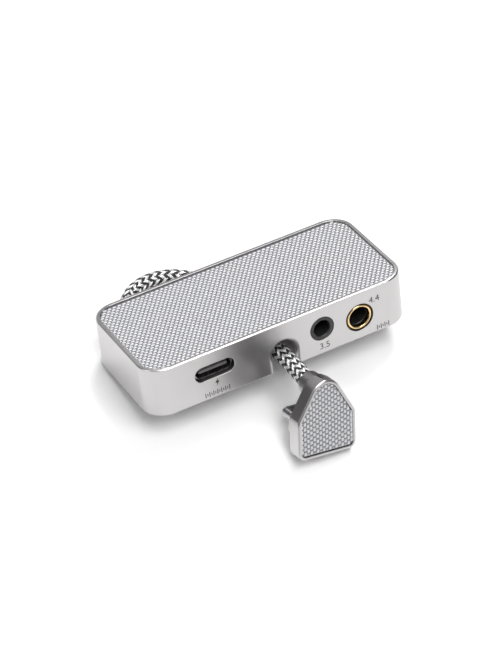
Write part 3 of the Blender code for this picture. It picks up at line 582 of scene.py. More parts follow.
def plug_outline(plug, offset):
    """The plug's house shape, measured outward from the inlay's edge."""
    side = plug.half_width + offset
    base = -plug.base - offset
    radius = plug.top_radius + offset
    corner = max(plug.corner + offset, 0.0004)
    reach = math.hypot(plug.half_width, plug.shoulder)
    tangent = math.atan2(-plug.shoulder, plug.half_width) + math.acos(plug.top_radius / reach)
    touch = (radius * math.cos(tangent), radius * math.sin(tangent))
    slope = -math.cos(tangent) / math.sin(tangent)
    bend = 0.0006 + offset * 0.4
    shoulder = touch[1] + (side - touch[0]) * slope
    top = (side - bend * math.sin(tangent) * 0.6, shoulder - bend * math.sin(tangent) * 0.6 * slope)
    curve = bezier((side, shoulder - bend * 0.8), (side, shoulder), top, 6)
    start = math.degrees(tangent)
    points = curve + arc((0.0, 0.0), radius, start, 180 - start, 28)
    points += [(-x, z) for x, z in reversed(curve)]
    points += arc((-side + corner, base + corner), corner, 180, 270, 10)
    points += arc((side - corner, base + corner), corner, 270, 360, 10)
    return points


def bezier(start, control, end, steps):
    points = []
    for t in np.linspace(0, 1, steps + 1):
        points.append(tuple((1 - t) ** 2 * a + 2 * t * (1 - t) * b + t ** 2 * c
                            for a, b, c in zip(start, control, end)))
    return points


def screw_posts():
    """The middle of each board screw, in the case's axes."""
    back = CASE_AXES.inverted()
    places = []
    for number in range(1, 5):
        low, high = (Vector(corner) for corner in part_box(f"board_screw_{number}"))
        places.append(back @ ((low + high) / 2))
    return places


# Stage

class AMPLIFIER_OT_stage(bpy.types.Operator):
    """Camera, floor and soft studio light"""

    bl_idname = "amplifier.stage"
    bl_label = "Stage"

    def execute(self, context):
        add_camera(context.scene, context.scene.amp_stage)
        add_floor()
        add_lights(context.scene)
        return {"FINISHED"}


def add_camera(scene, stage):
    camera = bpy.data.cameras.new("camera")
    camera.lens = stage.lens
    camera.sensor_width = 36.0
    camera.clip_start = 0.01
    holder = bpy.data.objects.new("camera", camera)
    scene.collection.objects.link(holder)
    view = (Matrix.Translation(stage.aim)
            @ Matrix.Rotation(-stage.azimuth, 4, "Z")
            @ Matrix.Rotation(math.pi / 2 - stage.elevation, 4, "X")
            @ Matrix.Rotation(-stage.roll, 4, "Z")
            @ Matrix.Translation((0.0, 0.0, stage.distance)))
    holder.matrix_world = CASE_AXES @ view
    scene.camera = holder


def add_floor():
    """A sheet of paper that curves up into a backdrop far behind."""
    width = 1.6
    bend = 0.5
    profile = [(-1.0, 0.0), (0.9, 0.0)]
    profile += [(0.9 + bend * math.sin(a), bend - bend * math.cos(a))
                for a in np.linspace(0.1, math.pi / 2, 14)]
    profile.append((0.9 + bend, 1.6))
    shape = bmesh.new()
    left = [shape.verts.new((-width, y, z)) for y, z in profile]
    right = [shape.verts.new((width, y, z)) for y, z in profile]
    for i in range(len(profile) - 1):
        shape.faces.new((left[i], right[i], right[i + 1], left[i + 1]))
    floor = link("studio_floor", mesh_from(shape), [material("studio_paper")])
    floor.data.shade_smooth()


def add_lights(scene):
    world = bpy.data.worlds.new("studio")
    world.use_nodes = True
    scene.world = world
    background = world.node_tree.nodes["Background"]
    background.inputs["Color"].default_value = (1.0, 1.0, 1.0, 1.0)
    background.inputs["Strength"].default_value = 0.18
    lamps = (
        ("key_softbox", (0.38, 0.45, 0.75), 0.30, 0.30, 5.0),
        ("overhead_softbox", (-0.05, 0.00, 1.10), 1.50, 1.50, 3.5),
        ("front_softbox", (0.05, -0.35, 0.80), 0.60, 0.60, 5.5),
        ("left_softbox", (-0.80, 0.10, 0.60), 0.30, 0.30, 1.5),
    )
    for name, place, width, height, power in lamps:
        light = bpy.data.lights.new(name, "AREA")
        light.shape = "RECTANGLE"
        light.size = width
        light.size_y = height
        light.energy = power
        holder = bpy.data.objects.new(name, light)
        holder.matrix_world = (Matrix.Translation(place)
                               @ Vector(place).to_track_quat("Z", "Y").to_matrix().to_4x4())
        scene.collection.objects.link(holder)
    scene.view_settings.view_transform = "Standard"


# Lead

CORD_ROUTE = [
    (-0.0196, 0.0086, 0.0053),
    (-0.0196, 0.0112, 0.0053),
    (-0.0196, 0.01395, 0.0053),
    (-0.0196, 0.0165, 0.0051),
    (-0.0185, 0.0205, 0.0049),
    (-0.0154, 0.0236, 0.00485),
    (-0.0112, 0.0248, 0.00485),
    (-0.0071, 0.0238, 0.00475),
    (-0.0037, 0.0208, 0.0046),
    (-0.0014, 0.0170, 0.0044),
    (-0.0003, 0.0125, 0.0041),
    (-0.0001, 0.0070, 0.0037),
    (0.0001, 0.0010, 0.0033),
    (0.0003, -0.0060, 0.0030),
    (0.0005, -0.0120, 0.00278),
    (0.00055, -0.0162, 0.00262),
    (0.00053, -0.0202, 0.00242),
]
CORD_EXIT = CASE_AXES @ Vector((-0.0196, 0.01395, 0.0053))


def cord_line(plug, spacing):
    """Evenly spaced world points on a smooth curve through the route."""
    route = [CASE_AXES @ Vector(point) for point in CORD_ROUTE]
    boss_back = plug.depth + plug.boss_length
    for depth in (boss_back - 0.0002, plug.depth - 0.0006):
        route.append(PLUG_AXES @ Vector((0.0, depth, plug.boss_rise)))
    knots = [2 * route[0] - route[1], *route, 2 * route[-1] - route[-2]]
    fine = []
    for before, start, end, after in zip(knots, knots[1:], knots[2:], knots[3:]):
        for t in np.linspace(0, 1, 24, endpoint=False):
            fine.append(0.5 * (2 * start + (end - before) * t
                               + (2 * before - 5 * start + 4 * end - after) * t ** 2
                               + (3 * start - before - 3 * end + after) * t ** 3))
    fine = np.array([*fine, route[-1]])
    run = np.concatenate([[0.0], np.cumsum(np.linalg.norm(np.diff(fine, axis=0), axis=1))])
    at = np.linspace(0.0, run[-1], round(run[-1] / spacing) + 1)
    line = np.stack([np.interp(at, run, fine[:, axis]) for axis in range(3)], axis=1)
    return line, at


def carried_sides(line):
    """Two directions across a line that do not twist along it."""
    tangents = np.gradient(line, axis=0)
    tangents /= np.linalg.norm(tangents, axis=1)[:, None]
    side = np.cross(tangents[0], (0.0, 0.0, 1.0))
    sides = []
    for tangent in tangents:
        side = side - tangent * side.dot(tangent)
        side /= np.linalg.norm(side)
        sides.append(side)
    sides = np.array(sides)
    return sides, np.cross(tangents, sides)


def tube_faces(shape, line, radius, sides, normals, binormals):
    """Adds a capped tube round a line to a mesh under construction."""
    rows = []
    for point, normal, binormal in zip(line, normals, binormals):
        row = []
        for a in np.linspace(0, 2 * math.pi, sides, endpoint=False):
            outward = math.cos(a) * normal + math.sin(a) * binormal
            row.append(shape.verts.new(point + radius * outward))
        rows.append(row)
    bridge(shape, rows)
    cap(shape, rows)


class AMPLIFIER_OT_cord(bpy.types.Operator):
    """Braided lead from the back of the case to the plug"""

    bl_idname = "amplifier.cord"
    bl_label = "Lead"

    def execute(self, context):
        cord = context.scene.amp_cord
        line, run = cord_line(context.scene.amp_plug, 0.00023)
        sides, ups = carried_sides(line)
        pale = link("cord_pale_strands", braid_mesh(cord, line, run, sides, ups, 1),
                    [material("pale_strand")])
        dark = link("cord_dark_strands", braid_mesh(cord, line, run, sides, ups, 0),
                    [material("dark_strand")])
        core_shape = bmesh.new()
        tube_faces(core_shape, line[::3], cord.core, 24, sides[::3], ups[::3])
        core = link("cord_core", mesh_from(core_shape), [material("dark_strand")])
        for piece in (pale, dark, core):
            piece.data.shade_smooth()
            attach(piece, "root")
        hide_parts("cord")
        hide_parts("cord")
        return {"FINISHED"}


def braid_mesh(cord, line, run, sides, ups, parity):
    """The strands of one colour, every second one in each direction.

    Each strand passes over two others, then under two.
    """
    shape = bmesh.new()
    middle = cord.radius - cord.yarn - cord.wave
    turn = 2 * math.pi / cord.lead
    step = cord.spacing / math.cos(math.atan(turn * middle)) / middle
    for hand in (1, -1):
        for strand in range(parity, cord.strands, 2):
            for yarn in (-1, 0, 1):
                angle = (2 * math.pi * strand / cord.strands + yarn * step
                         + hand * turn * (run + cord.slide))
                over = np.cos(cord.strands / 2 * angle - math.pi / 4)
                lift = hand * cord.wave * np.clip(1.3 * over, -1.0, 1.0)
                add_yarn(shape, line, sides, ups, angle + cord.turn, middle + lift, cord.yarn)
    return mesh_from(shape)


def add_yarn(shape, line, sides, ups, angle, radius, thickness):
    """One yarn that winds round the line at a changing radius."""
    outward = np.cos(angle)[:, None] * sides + np.sin(angle)[:, None] * ups
    path = line + outward * radius[:, None]
    along = np.gradient(path, axis=0)
    along /= np.linalg.norm(along, axis=1)[:, None]
    tube_faces(shape, path, thickness, 5, outward, np.cross(along, outward))


# Case

PAST = 0.0005
POST_RADIUS = 0.0015
SCREW_HOLE = 0.0007
SCREW_HOLE_FLOOR = 0.004
TUNNEL_WALL = 0.0007
LEAD_HOLE = 0.0025
LEAD_BORE = 0.00195
LEAD_FLANGE = 0.0030
LEAD_RING_PROUD = 0.0005
LEAD_RING_SUNK = 0.0017
# Reach round and depth into the USB opening of its painted shade
PAINTED_SHADE_REACH = 0.0018
PAINTED_SHADE_DEPTH = 0.0013


class AMPLIFIER_OT_case(bpy.types.Operator):
    """Machined case with its openings and tunnel"""

    bl_idname = "amplifier.case"
    bl_label = "Case"

    def execute(self, context):
        case = context.scene.amp_case
        sockets = context.scene.amp_sockets
        tools = [("UNION", tunnel_wall(case))]
        for place in screw_posts():
            tools.append(("UNION", rod((place.x, place.y, case.floor / 2),
                                       (place.x, place.y, case.board - GAP), POST_RADIUS)))
        tools.append(("DIFFERENCE", tunnel_cutter(case)))
        front = -case.width / 2
        inner = front + case.wall + PAST
        usb = (-sockets.usb_x, sockets.usb_z)
        small = (sockets.small_x, sockets.small_z)
        large = (sockets.large_x, sockets.large_z)
        length, height = sockets.usb_length, sockets.usb_height
        openings = (
            (lambda grow: stadium(length + 2 * grow, height + 2 * grow, usb), 1.0),
            (lambda grow: circle(small, sockets.small_hole + grow), 0.5),
            (lambda grow: circle(large, sockets.large_hole + grow), 0.5),
        )
        for outline, share in openings:
            cutter = mouth_cutter(outline, case.opening_round * share, front, inner)
            tools.append(("DIFFERENCE", cutter))
        exit_point = CASE_AXES.inverted() @ CORD_EXIT
        tools.append(("DIFFERENCE", rod(
            (exit_point.x, case.width / 2 - case.wall - PAST, exit_point.z),
            (exit_point.x, case.width / 2 + 2 * PAST, exit_point.z), LEAD_HOLE + GAP, 48)))
        for place in screw_posts():
            tools.append(("DIFFERENCE", rod((place.x, place.y, SCREW_HOLE_FLOOR),
                                            (place.x, place.y, case.board + 2 * PAST), SCREW_HOLE)))
        # The case's second material, black plastic, is painted shade inside the USB opening
        shell = carved("case_shell", case_solid(case), tools, CASE_AXES,
                       [material("satin_aluminium"), material("black_plastic")])
        paint_opening_shade(shell.data, front, usb, sockets.usb_length / 2)
        stand_for(shell, "case_body")
        return {"FINISHED"}


def paint_opening_shade(mesh, front, centre, half_length):
    """Paints the aluminium wall of the USB opening black, as painted shade in the recess."""
    back = CASE_AXES.inverted()
    for face in mesh.polygons:
        middle = back @ face.center
        beside = abs(middle.x - centre[0]) < half_length + 0.0001
        level = abs(middle.z - centre[1]) < PAINTED_SHADE_REACH
        if beside and level and 0.0001 < middle.y - front < PAINTED_SHADE_DEPTH:
            # black on these aluminium faces is painted shade
            face.material_index = 1


def case_solid(case):
    """The tub, from its underside over the rim to the floor inside."""
    edge = case.foot_round
    top = case.height
    chamfer = case.chamfer
    profile = [(edge - edge * math.sin(a), edge - edge * math.cos(a))
               for a in np.linspace(0, math.pi / 2, 6)]
    profile += [(0.0, top - chamfer), (chamfer * 0.12, top - chamfer * 0.75),
                (chamfer * 0.75, top - chamfer * 0.12), (chamfer, top),
                (case.rim - 0.00005, top), (case.rim, top - 0.00005),
                (case.rim, case.ledge), (case.wall, case.ledge), (case.wall, case.floor)]
    return lofted([upright(case_outline(case, inset), height) for inset, height in profile])


def tunnel_wall(case):
    top = case.tunnel_height + TUNNEL_WALL
    low = case.floor / 2
    return block((case.tunnel_x, 0.0, (top + low) / 2),
                 (case.tunnel_width + 2 * TUNNEL_WALL, case.width - case.wall, top - low))


def arch_outline(case, offset):
    half = case.tunnel_width / 2 + offset
    spring_line = case.tunnel_height - case.tunnel_width / 2
    outline = arc((case.tunnel_x, spring_line), half, 0, 180, 36)
    return outline + [(case.tunnel_x - half, -0.002), (case.tunnel_x + half, -0.002)]


def tunnel_cutter(case):
    front = mouth_steps(case.flare, -case.width / 2, 1, 10)
    back = mouth_steps(case.flare, case.width / 2, -1, 10)
    return lofted([facing(arch_outline(case, offset), y) for offset, y in front + back[::-1]])


def mouth_cutter(outline, radius, front, inner):
    """A cutter for an opening in the front wall, with a rounded mouth."""
    steps = mouth_steps(radius, front, 1) + [(0.0, inner)]
    return lofted([facing(outline(offset), y) for offset, y in steps])


# Woven faces

LID_WEAVE_DEPTH = 0.00034
PLUG_WEAVE_DEPTH = 0.00042
PLUG_WEAVE_SINK = 0.00012
PLUG_WEAVE_REACH = 0.030


def weave_tree():
    """Wavy parallel yarns, trimmed to a flat face, as one set of tubes."""
    tree = bpy.data.node_groups.get("parallel_yarns")
    if tree:
        return tree
    tree = bpy.data.node_groups.new("parallel_yarns", "GeometryNodeTree")
    put = tree.interface.new_socket
    put("Geometry", in_out="OUTPUT", socket_type="NodeSocketGeometry")
    put("Face", in_out="INPUT", socket_type="NodeSocketGeometry")
    for name in ("Pitch", "Cross Pitch", "Width", "Thickness", "Wave", "Reach"):
        put(name, in_out="INPUT", socket_type="NodeSocketFloat")
    put("Material", in_out="INPUT", socket_type="NodeSocketMaterial")
    nodes = tree.nodes
    given = nodes.new("NodeGroupInput").outputs

    def node(kind, settings=None, **inputs):
        made = nodes.new(kind)
        for key, value in (settings or {}).items():
            setattr(made, key, value)
        for key, value in inputs.items():
            numbered = key[0] == "i" and key[1:].isdigit()
            feed(made.inputs[int(key[1:]) if numbered else key], value)
        return made

    def feed(socket, value):
        if isinstance(value, bpy.types.NodeSocket):
            tree.links.new(value, socket)
        else:
            socket.default_value = value

    def maths(operation, first, second=0.0):
        return node("ShaderNodeMath", {"operation": operation}, i0=first, i1=second).outputs[0]

    def vector(x=0.0, y=0.0, z=0.0):
        return node("ShaderNodeCombineXYZ", X=x, Y=y, Z=z).outputs[0]

    half = maths("DIVIDE", given["Reach"], 2.0)
    rows = maths("ADD", maths("FLOOR", maths("DIVIDE", half, given["Pitch"])), 1.0)
    count = maths("ADD", maths("MULTIPLY", rows, 2.0), 1.0)
    first = maths("MULTIPLY", maths("MULTIPLY", rows, given["Pitch"]), -1.0)
    line = node("GeometryNodeMeshLine", {"mode": "OFFSET"}, Count=count,
                Offset=vector(y=given["Pitch"])).outputs[0]
    tree.links.new(vector(y=first), line.node.inputs["Start Location"])
    yarn = node("GeometryNodeCurvePrimitiveLine")
    feed(yarn.inputs["Start"], vector(x=maths("MULTIPLY", half, -1.0)))
    feed(yarn.inputs["End"], vector(x=half))
    spacing = maths("DIVIDE", given["Cross Pitch"], 3.0)
    finer = node("GeometryNodeResampleCurve", {"mode": "LENGTH"}, Curve=yarn.outputs[0], Length=spacing)
    yarns = node("GeometryNodeInstanceOnPoints", Points=line, Instance=finer.outputs[0])
    real = node("GeometryNodeRealizeInstances", Geometry=yarns.outputs[0])

    place = node("GeometryNodeInputPosition").outputs[0]
    probe = node("GeometryNodeRaycast", i0=given["Face"])
    feed(probe.inputs["Source Position"], node(
        "ShaderNodeVectorMath", {"operation": "ADD"}, i0=place, i1=(0.0, 0.0, 1.0)).outputs[0])
    feed(probe.inputs["Ray Direction"], (0.0, 0.0, -1.0))
    feed(probe.inputs["Ray Length"], 2.0)
    outside = node("FunctionNodeBooleanMath", {"operation": "NOT"}, i0=probe.outputs["Is Hit"])
    kept = node("GeometryNodeDeleteGeometry", {"domain": "POINT"},
                Geometry=real.outputs[0], Selection=outside.outputs[0])

    parts = node("ShaderNodeSeparateXYZ", Vector=place).outputs
    crossings = maths("ADD", maths("DIVIDE", parts["X"], given["Cross Pitch"]),
                      maths("DIVIDE", parts["Y"], given["Pitch"]))
    height = maths("MULTIPLY", maths("COSINE", maths("MULTIPLY", crossings, math.pi)), given["Wave"])
    waved = node("GeometryNodeSetPosition", Geometry=kept.outputs[0], Offset=vector(z=height))
    flat = node("GeometryNodeSetCurveNormal", {"mode": "Z_UP"}, Curve=waved.outputs[0])
    ring = node("GeometryNodeCurvePrimitiveCircle", Resolution=6, Radius=0.5)
    oval = node("GeometryNodeTransform", Geometry=ring.outputs[0])
    feed(oval.inputs["Scale"], vector(given["Width"], given["Thickness"], 1.0))
    tube = node("GeometryNodeCurveToMesh", Curve=flat.outputs[0])
    feed(tube.inputs["Profile Curve"], oval.outputs[0])
    feed(tube.inputs["Fill Caps"], True)
    smooth = node("GeometryNodeSetShadeSmooth", Geometry=tube.outputs[0])
    whole = node("GeometryNodeRealizeInstances", Geometry=smooth.outputs[0])
    dressed = node("GeometryNodeSetMaterial", Geometry=whole.outputs[0], Material=given["Material"])
    tree.links.new(dressed.outputs[0], nodes.new("NodeGroupOutput").inputs[0])
    return tree


def yarn_set(name, outline, reach, turn, wave, width, pitch, cross, look, place):
    """One direction of yarns over an outline, put in place as a plain mesh."""
    weave = bpy.context.scene.amp_weave
    shape = bmesh.new()
    shape.faces.new([shape.verts.new((x, y, 0.0)) for x, y in outline])
    bmesh.ops.triangulate(shape, faces=shape.faces)
    bmesh.ops.rotate(shape, matrix=Matrix.Rotation(-turn, 3, "Z"), verts=shape.verts)
    piece = link(name, mesh_from(shape))
    modifier = piece.modifiers.new("yarns", "NODES")
    modifier.node_group = weave_tree()
    values = {"Pitch": pitch, "Cross Pitch": cross, "Width": width, "Reach": reach,
              "Thickness": weave.yarn_thickness, "Wave": wave, "Material": material(look)}
    for item in modifier.node_group.interface.items_tree:
        if item.in_out == "INPUT" and item.name in values:
            modifier[item.identifier] = values[item.name]
    freeze(piece)
    dress(piece, look)
    piece.data.transform(place @ Matrix.Rotation(turn, 4, "Z"))
    return piece


def woven_face(prefix, outline, backing_outline, reach, along, place, depth):
    """Bright yarns one way, dim yarns the other, over a grey backing."""
    weave = bpy.context.scene.amp_weave
    other = along - math.pi / 2
    bright = yarn_set(prefix + "_bright_yarns", outline, reach, along, weave.wave, weave.bright_width,
                      weave.bright_pitch, weave.dim_pitch, "bright_yarn", place)
    dim = yarn_set(prefix + "_dim_yarns", outline, reach, other, -weave.wave, weave.dim_width,
                   weave.dim_pitch, weave.bright_pitch, "dim_yarn", place)
    under = [upright(backing_outline, -depth), upright(backing_outline, -depth + 0.00008)]
    backing = link(prefix + "_backing", lofted(under), [material("backing_cloth")])
    backing.data.transform(place)
    for piece in (bright, dim, backing):
        stand_for(piece, prefix + "_weave")


class AMPLIFIER_OT_lid_weave(bpy.types.Operator):
    """Woven inlay of the case's top face"""

    bl_idname = "amplifier.lid_weave"
    bl_label = "Woven Top"

    def execute(self, context):
        case = context.scene.amp_case
        weave = context.scene.amp_weave
        rise = weave.wave + weave.yarn_thickness / 2
        place = CASE_AXES @ Matrix.Translation((0.0, 0.0, case.weave_top - rise))
        depth = LID_WEAVE_DEPTH - rise
        outline = case_outline(case, case.rim + GAP)
        woven_face("lid", outline, outline, case.length, 0.0, place, depth)
        return {"FINISHED"}


class AMPLIFIER_OT_plug_weave(bpy.types.Operator):
    """Woven inlay of the plug's face"""

    bl_idname = "amplifier.plug_weave"
    bl_label = "Woven Plug Face"

    def execute(self, context):
        plug = context.scene.amp_plug
        weave = context.scene.amp_weave
        facing_out = PLUG_AXES @ Matrix.Rotation(math.pi / 2, 4, "X")
        front = PLUG_WEAVE_SINK + weave.wave + weave.yarn_thickness / 2
        place = facing_out @ Matrix.Translation((0.0, 0.0, -front))
        depth = PLUG_WEAVE_DEPTH - front
        woven_face("plug", plug_outline(plug, -0.00010), plug_outline(plug, -GAP),
                   PLUG_WEAVE_REACH, math.pi / 2, place, depth)
        return {"FINISHED"}


# Sockets

USB_DEPTH = 0.0075
USB_LIP = 0.0001
USB_OUTSIDE = (0.0088, 0.00316)
USB_WALL = 0.0003
TONGUE = (0.0067, 0.0007)
TONGUE_BASE = 0.0016
SLOT_REACH = 0.0012


class AMPLIFIER_OT_usb_socket(bpy.types.Operator):
    """Steel shell and tongue of the charging socket"""

    bl_idname = "amplifier.usb_socket"
    bl_label = "USB Socket"

    def execute(self, context):
        case = context.scene.amp_case
        sockets = context.scene.amp_sockets
        centre = (-sockets.usb_x, sockets.usb_z)
        mouth = sockets.usb_recess - case.width / 2
        back = mouth + USB_DEPTH
        lip, wall = USB_LIP, USB_WALL
        mesh = oblong_bar(USB_OUTSIDE, centre, (
            (-lip, back), (0.0, back - lip), (0.0, mouth + lip), (-lip, mouth),
            (lip * 0.6 - wall, mouth), (-wall, mouth + lip * 1.5), (-wall, back - 2 * lip)))
        shell = carved("usb_socket_shell", mesh, [], CASE_AXES, [material("steel")])
        stand_for(shell, "usb_shell")

        base_front = back - TONGUE_BASE
        blade = stadium(*TONGUE, centre)
        tip = stadium(TONGUE[0] - lip, TONGUE[1] - lip, centre)
        inset = 2 * (wall + GAP)
        filling = stadium(USB_OUTSIDE[0] - inset, USB_OUTSIDE[1] - inset, centre)
        tongue_mesh = lofted([facing(tip, mouth + 2 * lip), facing(blade, mouth + 3 * lip),
                              facing(blade, base_front), facing(filling, base_front),
                              facing(filling, back - 3 * lip)])
        tongue = carved("usb_socket_tongue", tongue_mesh, [], CASE_AXES, [material("grey_plastic")])
        stand_for(tongue, "usb_tongue")
        return {"FINISHED"}


def socket_body(name, node, bore_place, block_sizes, nose, bore, depth, springs):
    """A moulded socket: block, bore, a slot for each spring, and a nose if any."""
    case = bpy.context.scene.amp_case
    x, z = bore_place
    half, below, above, back = block_sizes
    front = -case.width / 2
    inner = front + case.wall + GAP
    body = block((x, (inner + back) / 2, z + (above - below) / 2),
                 (2 * half, back - inner, above + below))
    tools = []
    mouth = inner
    if nose:
        mouth = front + bpy.context.scene.amp_sockets.nose_recess
        lip = 0.00012
        rings = [(nose - lip, mouth), (nose - lip * 0.3, mouth + lip * 0.3), (nose, mouth + lip),
                 (nose, inner + 0.0004)]
        tools.append(("UNION", round_bar(bore_place, rings)))
    rings = [(bore + 0.00025, mouth - 0.001), (bore + 0.00025, mouth), (bore + 0.0001, mouth + 0.0001),
             (bore, mouth + 0.0003), (bore, front + depth)]
    tools.append(("DIFFERENCE", round_bar(bore_place, rings)))
    for spring in springs:
        tools.append(("DIFFERENCE", spring_slot(spring, x, z)))
    piece = carved(name, body, tools, CASE_AXES, [material("black_plastic")])
    stand_for(piece, node)


def spring_slot(spring, x, z):
    """A slot round one spring that opens through the socket's side."""
    to_case = CASE_AXES.inverted()
    points = np.array([tuple(to_case @ vertex.co) for vertex in frame["nodes"][spring].data.vertices])
    low = points.min(axis=0) - 2 * GAP
    high = points.max(axis=0) + 2 * GAP
    middle = (low + high) / 2
    out = middle - np.array([x, middle[1], z])
    axis = int(np.argmax(np.abs(out)))
    if out[axis] > 0:
        high[axis] += SLOT_REACH
    else:
        low[axis] -= SLOT_REACH
    return block(tuple((low + high) / 2), tuple(high - low))


class AMPLIFIER_OT_headphone_sockets(bpy.types.Operator):
    """Moulded bodies of both headphone sockets and the gold sleeve"""

    bl_idname = "amplifier.headphone_sockets"
    bl_label = "Headphone Sockets"

    def execute(self, context):
        case = context.scene.amp_case
        s = context.scene.amp_sockets
        socket_body("small_socket", "jack_small_body", (s.small_x, s.small_z),
                    (0.0031, 0.0025, 0.0026, 0.0014), s.small_hole - GAP, s.small_bore, 0.0144,
                    [f"jack_small_spring_{n}" for n in range(1, 5)])
        socket_body("large_socket", "jack_large_body", (s.large_x, s.large_z),
                    (0.00355, 0.0036, 0.0036, 0.0068), None, s.large_bore, 0.0196,
                    [f"jack_large_spring_{n}" for n in range(1, 6)])
        inner, lip, outer = s.sleeve_inner, s.sleeve_lip, s.large_hole - GAP
        crown = (inner + lip) / 2
        rise = (lip - inner) / 2
        profile = [(crown - rise * math.cos(a), rise - rise * math.sin(a))
                   for a in np.linspace(0, math.pi, 13)]
        profile += [(lip, s.sleeve_groove), (outer, s.sleeve_groove),
                    (outer, s.sleeve_length), (inner, s.sleeve_length)]
        place = (CASE_AXES @ Matrix.Translation((s.large_x, s.nose_recess - case.width / 2, s.large_z))
                 @ Matrix.Rotation(-math.pi / 2, 4, "X"))
        sleeve = link("gold_sleeve", turned(profile, place, 72),
                      [material("gold_plate"), material("painted_groove_shade")])
        smooth_faces(sleeve)
        # Faces outside the lip, down in the groove, take the dark brown plating as painted shade
        axis_place = place.inverted()
        for face in sleeve.data.polygons:
            middle = axis_place @ face.center
            face.material_index = int(math.hypot(middle.x, middle.y) > lip * 0.99)
        stand_for(sleeve, "jack_large_collar")
        return {"FINISHED"}


class AMPLIFIER_OT_grommet(bpy.types.Operator):
    """Metal ring where the lead leaves the back"""

    bl_idname = "amplifier.grommet"
    bl_label = "Lead Ring"

    def execute(self, context):
        hole, outer, flange = LEAD_BORE, LEAD_HOLE, LEAD_FLANGE
        proud, sunk = LEAD_RING_PROUD, -LEAD_RING_SUNK
        profile = [(hole + 0.00012, proud), (flange - 0.0003, proud),
                   (flange - 0.0001, proud - 0.00008), (flange, proud / 2), (flange, GAP),
                   (outer, GAP), (outer, sunk), (hole, sunk), (hole, proud - 0.00015)]
        back = CASE_AXES.inverted() @ CORD_EXIT
        place = CASE_AXES @ Matrix.Translation(back) @ Matrix.Rotation(-math.pi / 2, 4, "X")
        ring = link("lead_ring", turned(profile, place, 56), [material("satin_aluminium")])
        smooth_faces(ring)
        stand_for(ring, "cord_grommet")
        return {"FINISHED"}


# Plug

INNER_SEAT = 0.0015
TAB_START = 0.0024
TAB_WALL = 0.00028


class AMPLIFIER_OT_plug_housing(bpy.types.Operator):
    """Metal housing of the plug with its boss and collar"""

    bl_idname = "amplifier.plug_housing"
    bl_label = "Plug Housing"

    def execute(self, context):
        plug = context.scene.amp_plug
        margin, depth = plug.margin, plug.depth
        profile = [(-0.0005, depth - plug.rear_wall), (-0.0005, plug.recess), (GAP, plug.recess),
                   (GAP, 0.00008), (0.00009, 0.00002), (0.00015, 0.0), (margin - 0.00030, 0.0),
                   (margin - 0.00024, 0.00002), (margin - 0.00004, 0.00020), (margin, 0.00028),
                   (margin, depth - 0.0005), (margin - 0.00006, depth - 0.00025),
                   (margin - 0.00020, depth - 0.00008), (margin - 0.00045, depth)]
        mesh = lofted([facing(plug_outline(plug, offset), y) for offset, y in profile])
        boss_end = depth + plug.boss_length
        axis = (0.0, plug.boss_rise)
        radius = plug.boss_radius
        boss = round_bar(axis, (
            (radius + 0.0004, depth - 0.0006), (radius + 0.0004, depth),
            (radius + 0.00016, depth + 0.0001), (radius + 0.00004, depth + 0.00025),
            (radius, depth + 0.0005), (radius, boss_end - 0.00025),
            (radius - 0.00008, boss_end - 0.00008), (radius - 0.00025, boss_end)))
        tab = (0.0, -plug.tab_drop)
        rise = depth + plug.collar_rise
        collar = oblong_bar((plug.collar_width, plug.collar_height), tab, (
            (0.0, depth - 0.0004), (0.0, rise - 0.0004), (-0.0001, rise - 0.00015),
            (-0.0004, rise)))
        hole = LEAD_BORE
        bore = round_bar(axis, (
            (hole, INNER_SEAT), (hole, boss_end - 0.0002), (hole + 0.0002, boss_end),
            (hole + 0.0002, boss_end + 0.001)))
        slot = oblong_bar((plug.tab_width, plug.tab_height), tab,
                          ((GAP, INNER_SEAT), (GAP, rise + 0.001)))
        tools = [("UNION", boss), ("UNION", collar), ("DIFFERENCE", bore), ("DIFFERENCE", slot)]
        housing = carved("plug_case", mesh, tools, PLUG_AXES, [material("satin_aluminium")])
        stand_for(housing, "plug_housing")
        return {"FINISHED"}


class AMPLIFIER_OT_plug_tab(bpy.types.Operator):
    """Drawn steel shell of the plug's tab"""

    bl_idname = "amplifier.plug_tab"
    bl_label = "Plug Tab"

    def execute(self, context):
        plug = context.scene.amp_plug
        tab = (0.0, -plug.tab_drop)
        tip = plug.depth + plug.collar_rise + plug.tab_length
        wall, start = TAB_WALL, TAB_START
        mesh = oblong_bar((plug.tab_width, plug.tab_height), tab, (
            (-wall, start), (0.0, start), (0.0, tip - 0.0004), (-0.00005, tip - 0.0001),
            (-0.00014, tip), (-wall + 0.00004, tip), (-wall, tip - 0.0001),
            (-wall, start + 0.0002)), sleeve=True)
        shell = carved("plug_tab_shell", mesh, [], PLUG_AXES, [material("steel")])
        stand_for(shell, "plug_shell")
        return {"FINISHED"}


# Marks

NUMERAL_HEIGHT = 0.0021
TICK_HEIGHT = 0.0012
TICK_WIDTH = 0.00019
TICK_PITCH = 0.00046
INK_DEPTH = 0.000006


class AMPLIFIER_OT_marks(bpy.types.Operator):
    """Size numbers and plain signs printed beside the sockets"""

    bl_idname = "amplifier.marks"
    bl_label = "Printed Marks"

    def execute(self, context):
        case = context.scene.amp_case
        front = -case.width / 2
        numerals = (("mark_small_size", "3.5", 0.00975, 0.0019),
                    ("mark_large_size", "4.4", 0.0221, 0.0084))
        for name, words, x, z in numerals:
            finish_mark(printed_text(name, words, x, z, NUMERAL_HEIGHT), front)
        finish_mark(flat_sign("mark_charge", [bolt_outline(-0.0154, 0.0037, 0.00095)]), front)
        finish_mark(tick_row("mark_charge_ticks", -0.0156, 0.0013, 13), front)
        finish_mark(tick_row("mark_large_ticks", 0.0237, 0.0011, 7), front)
        return {"FINISHED"}


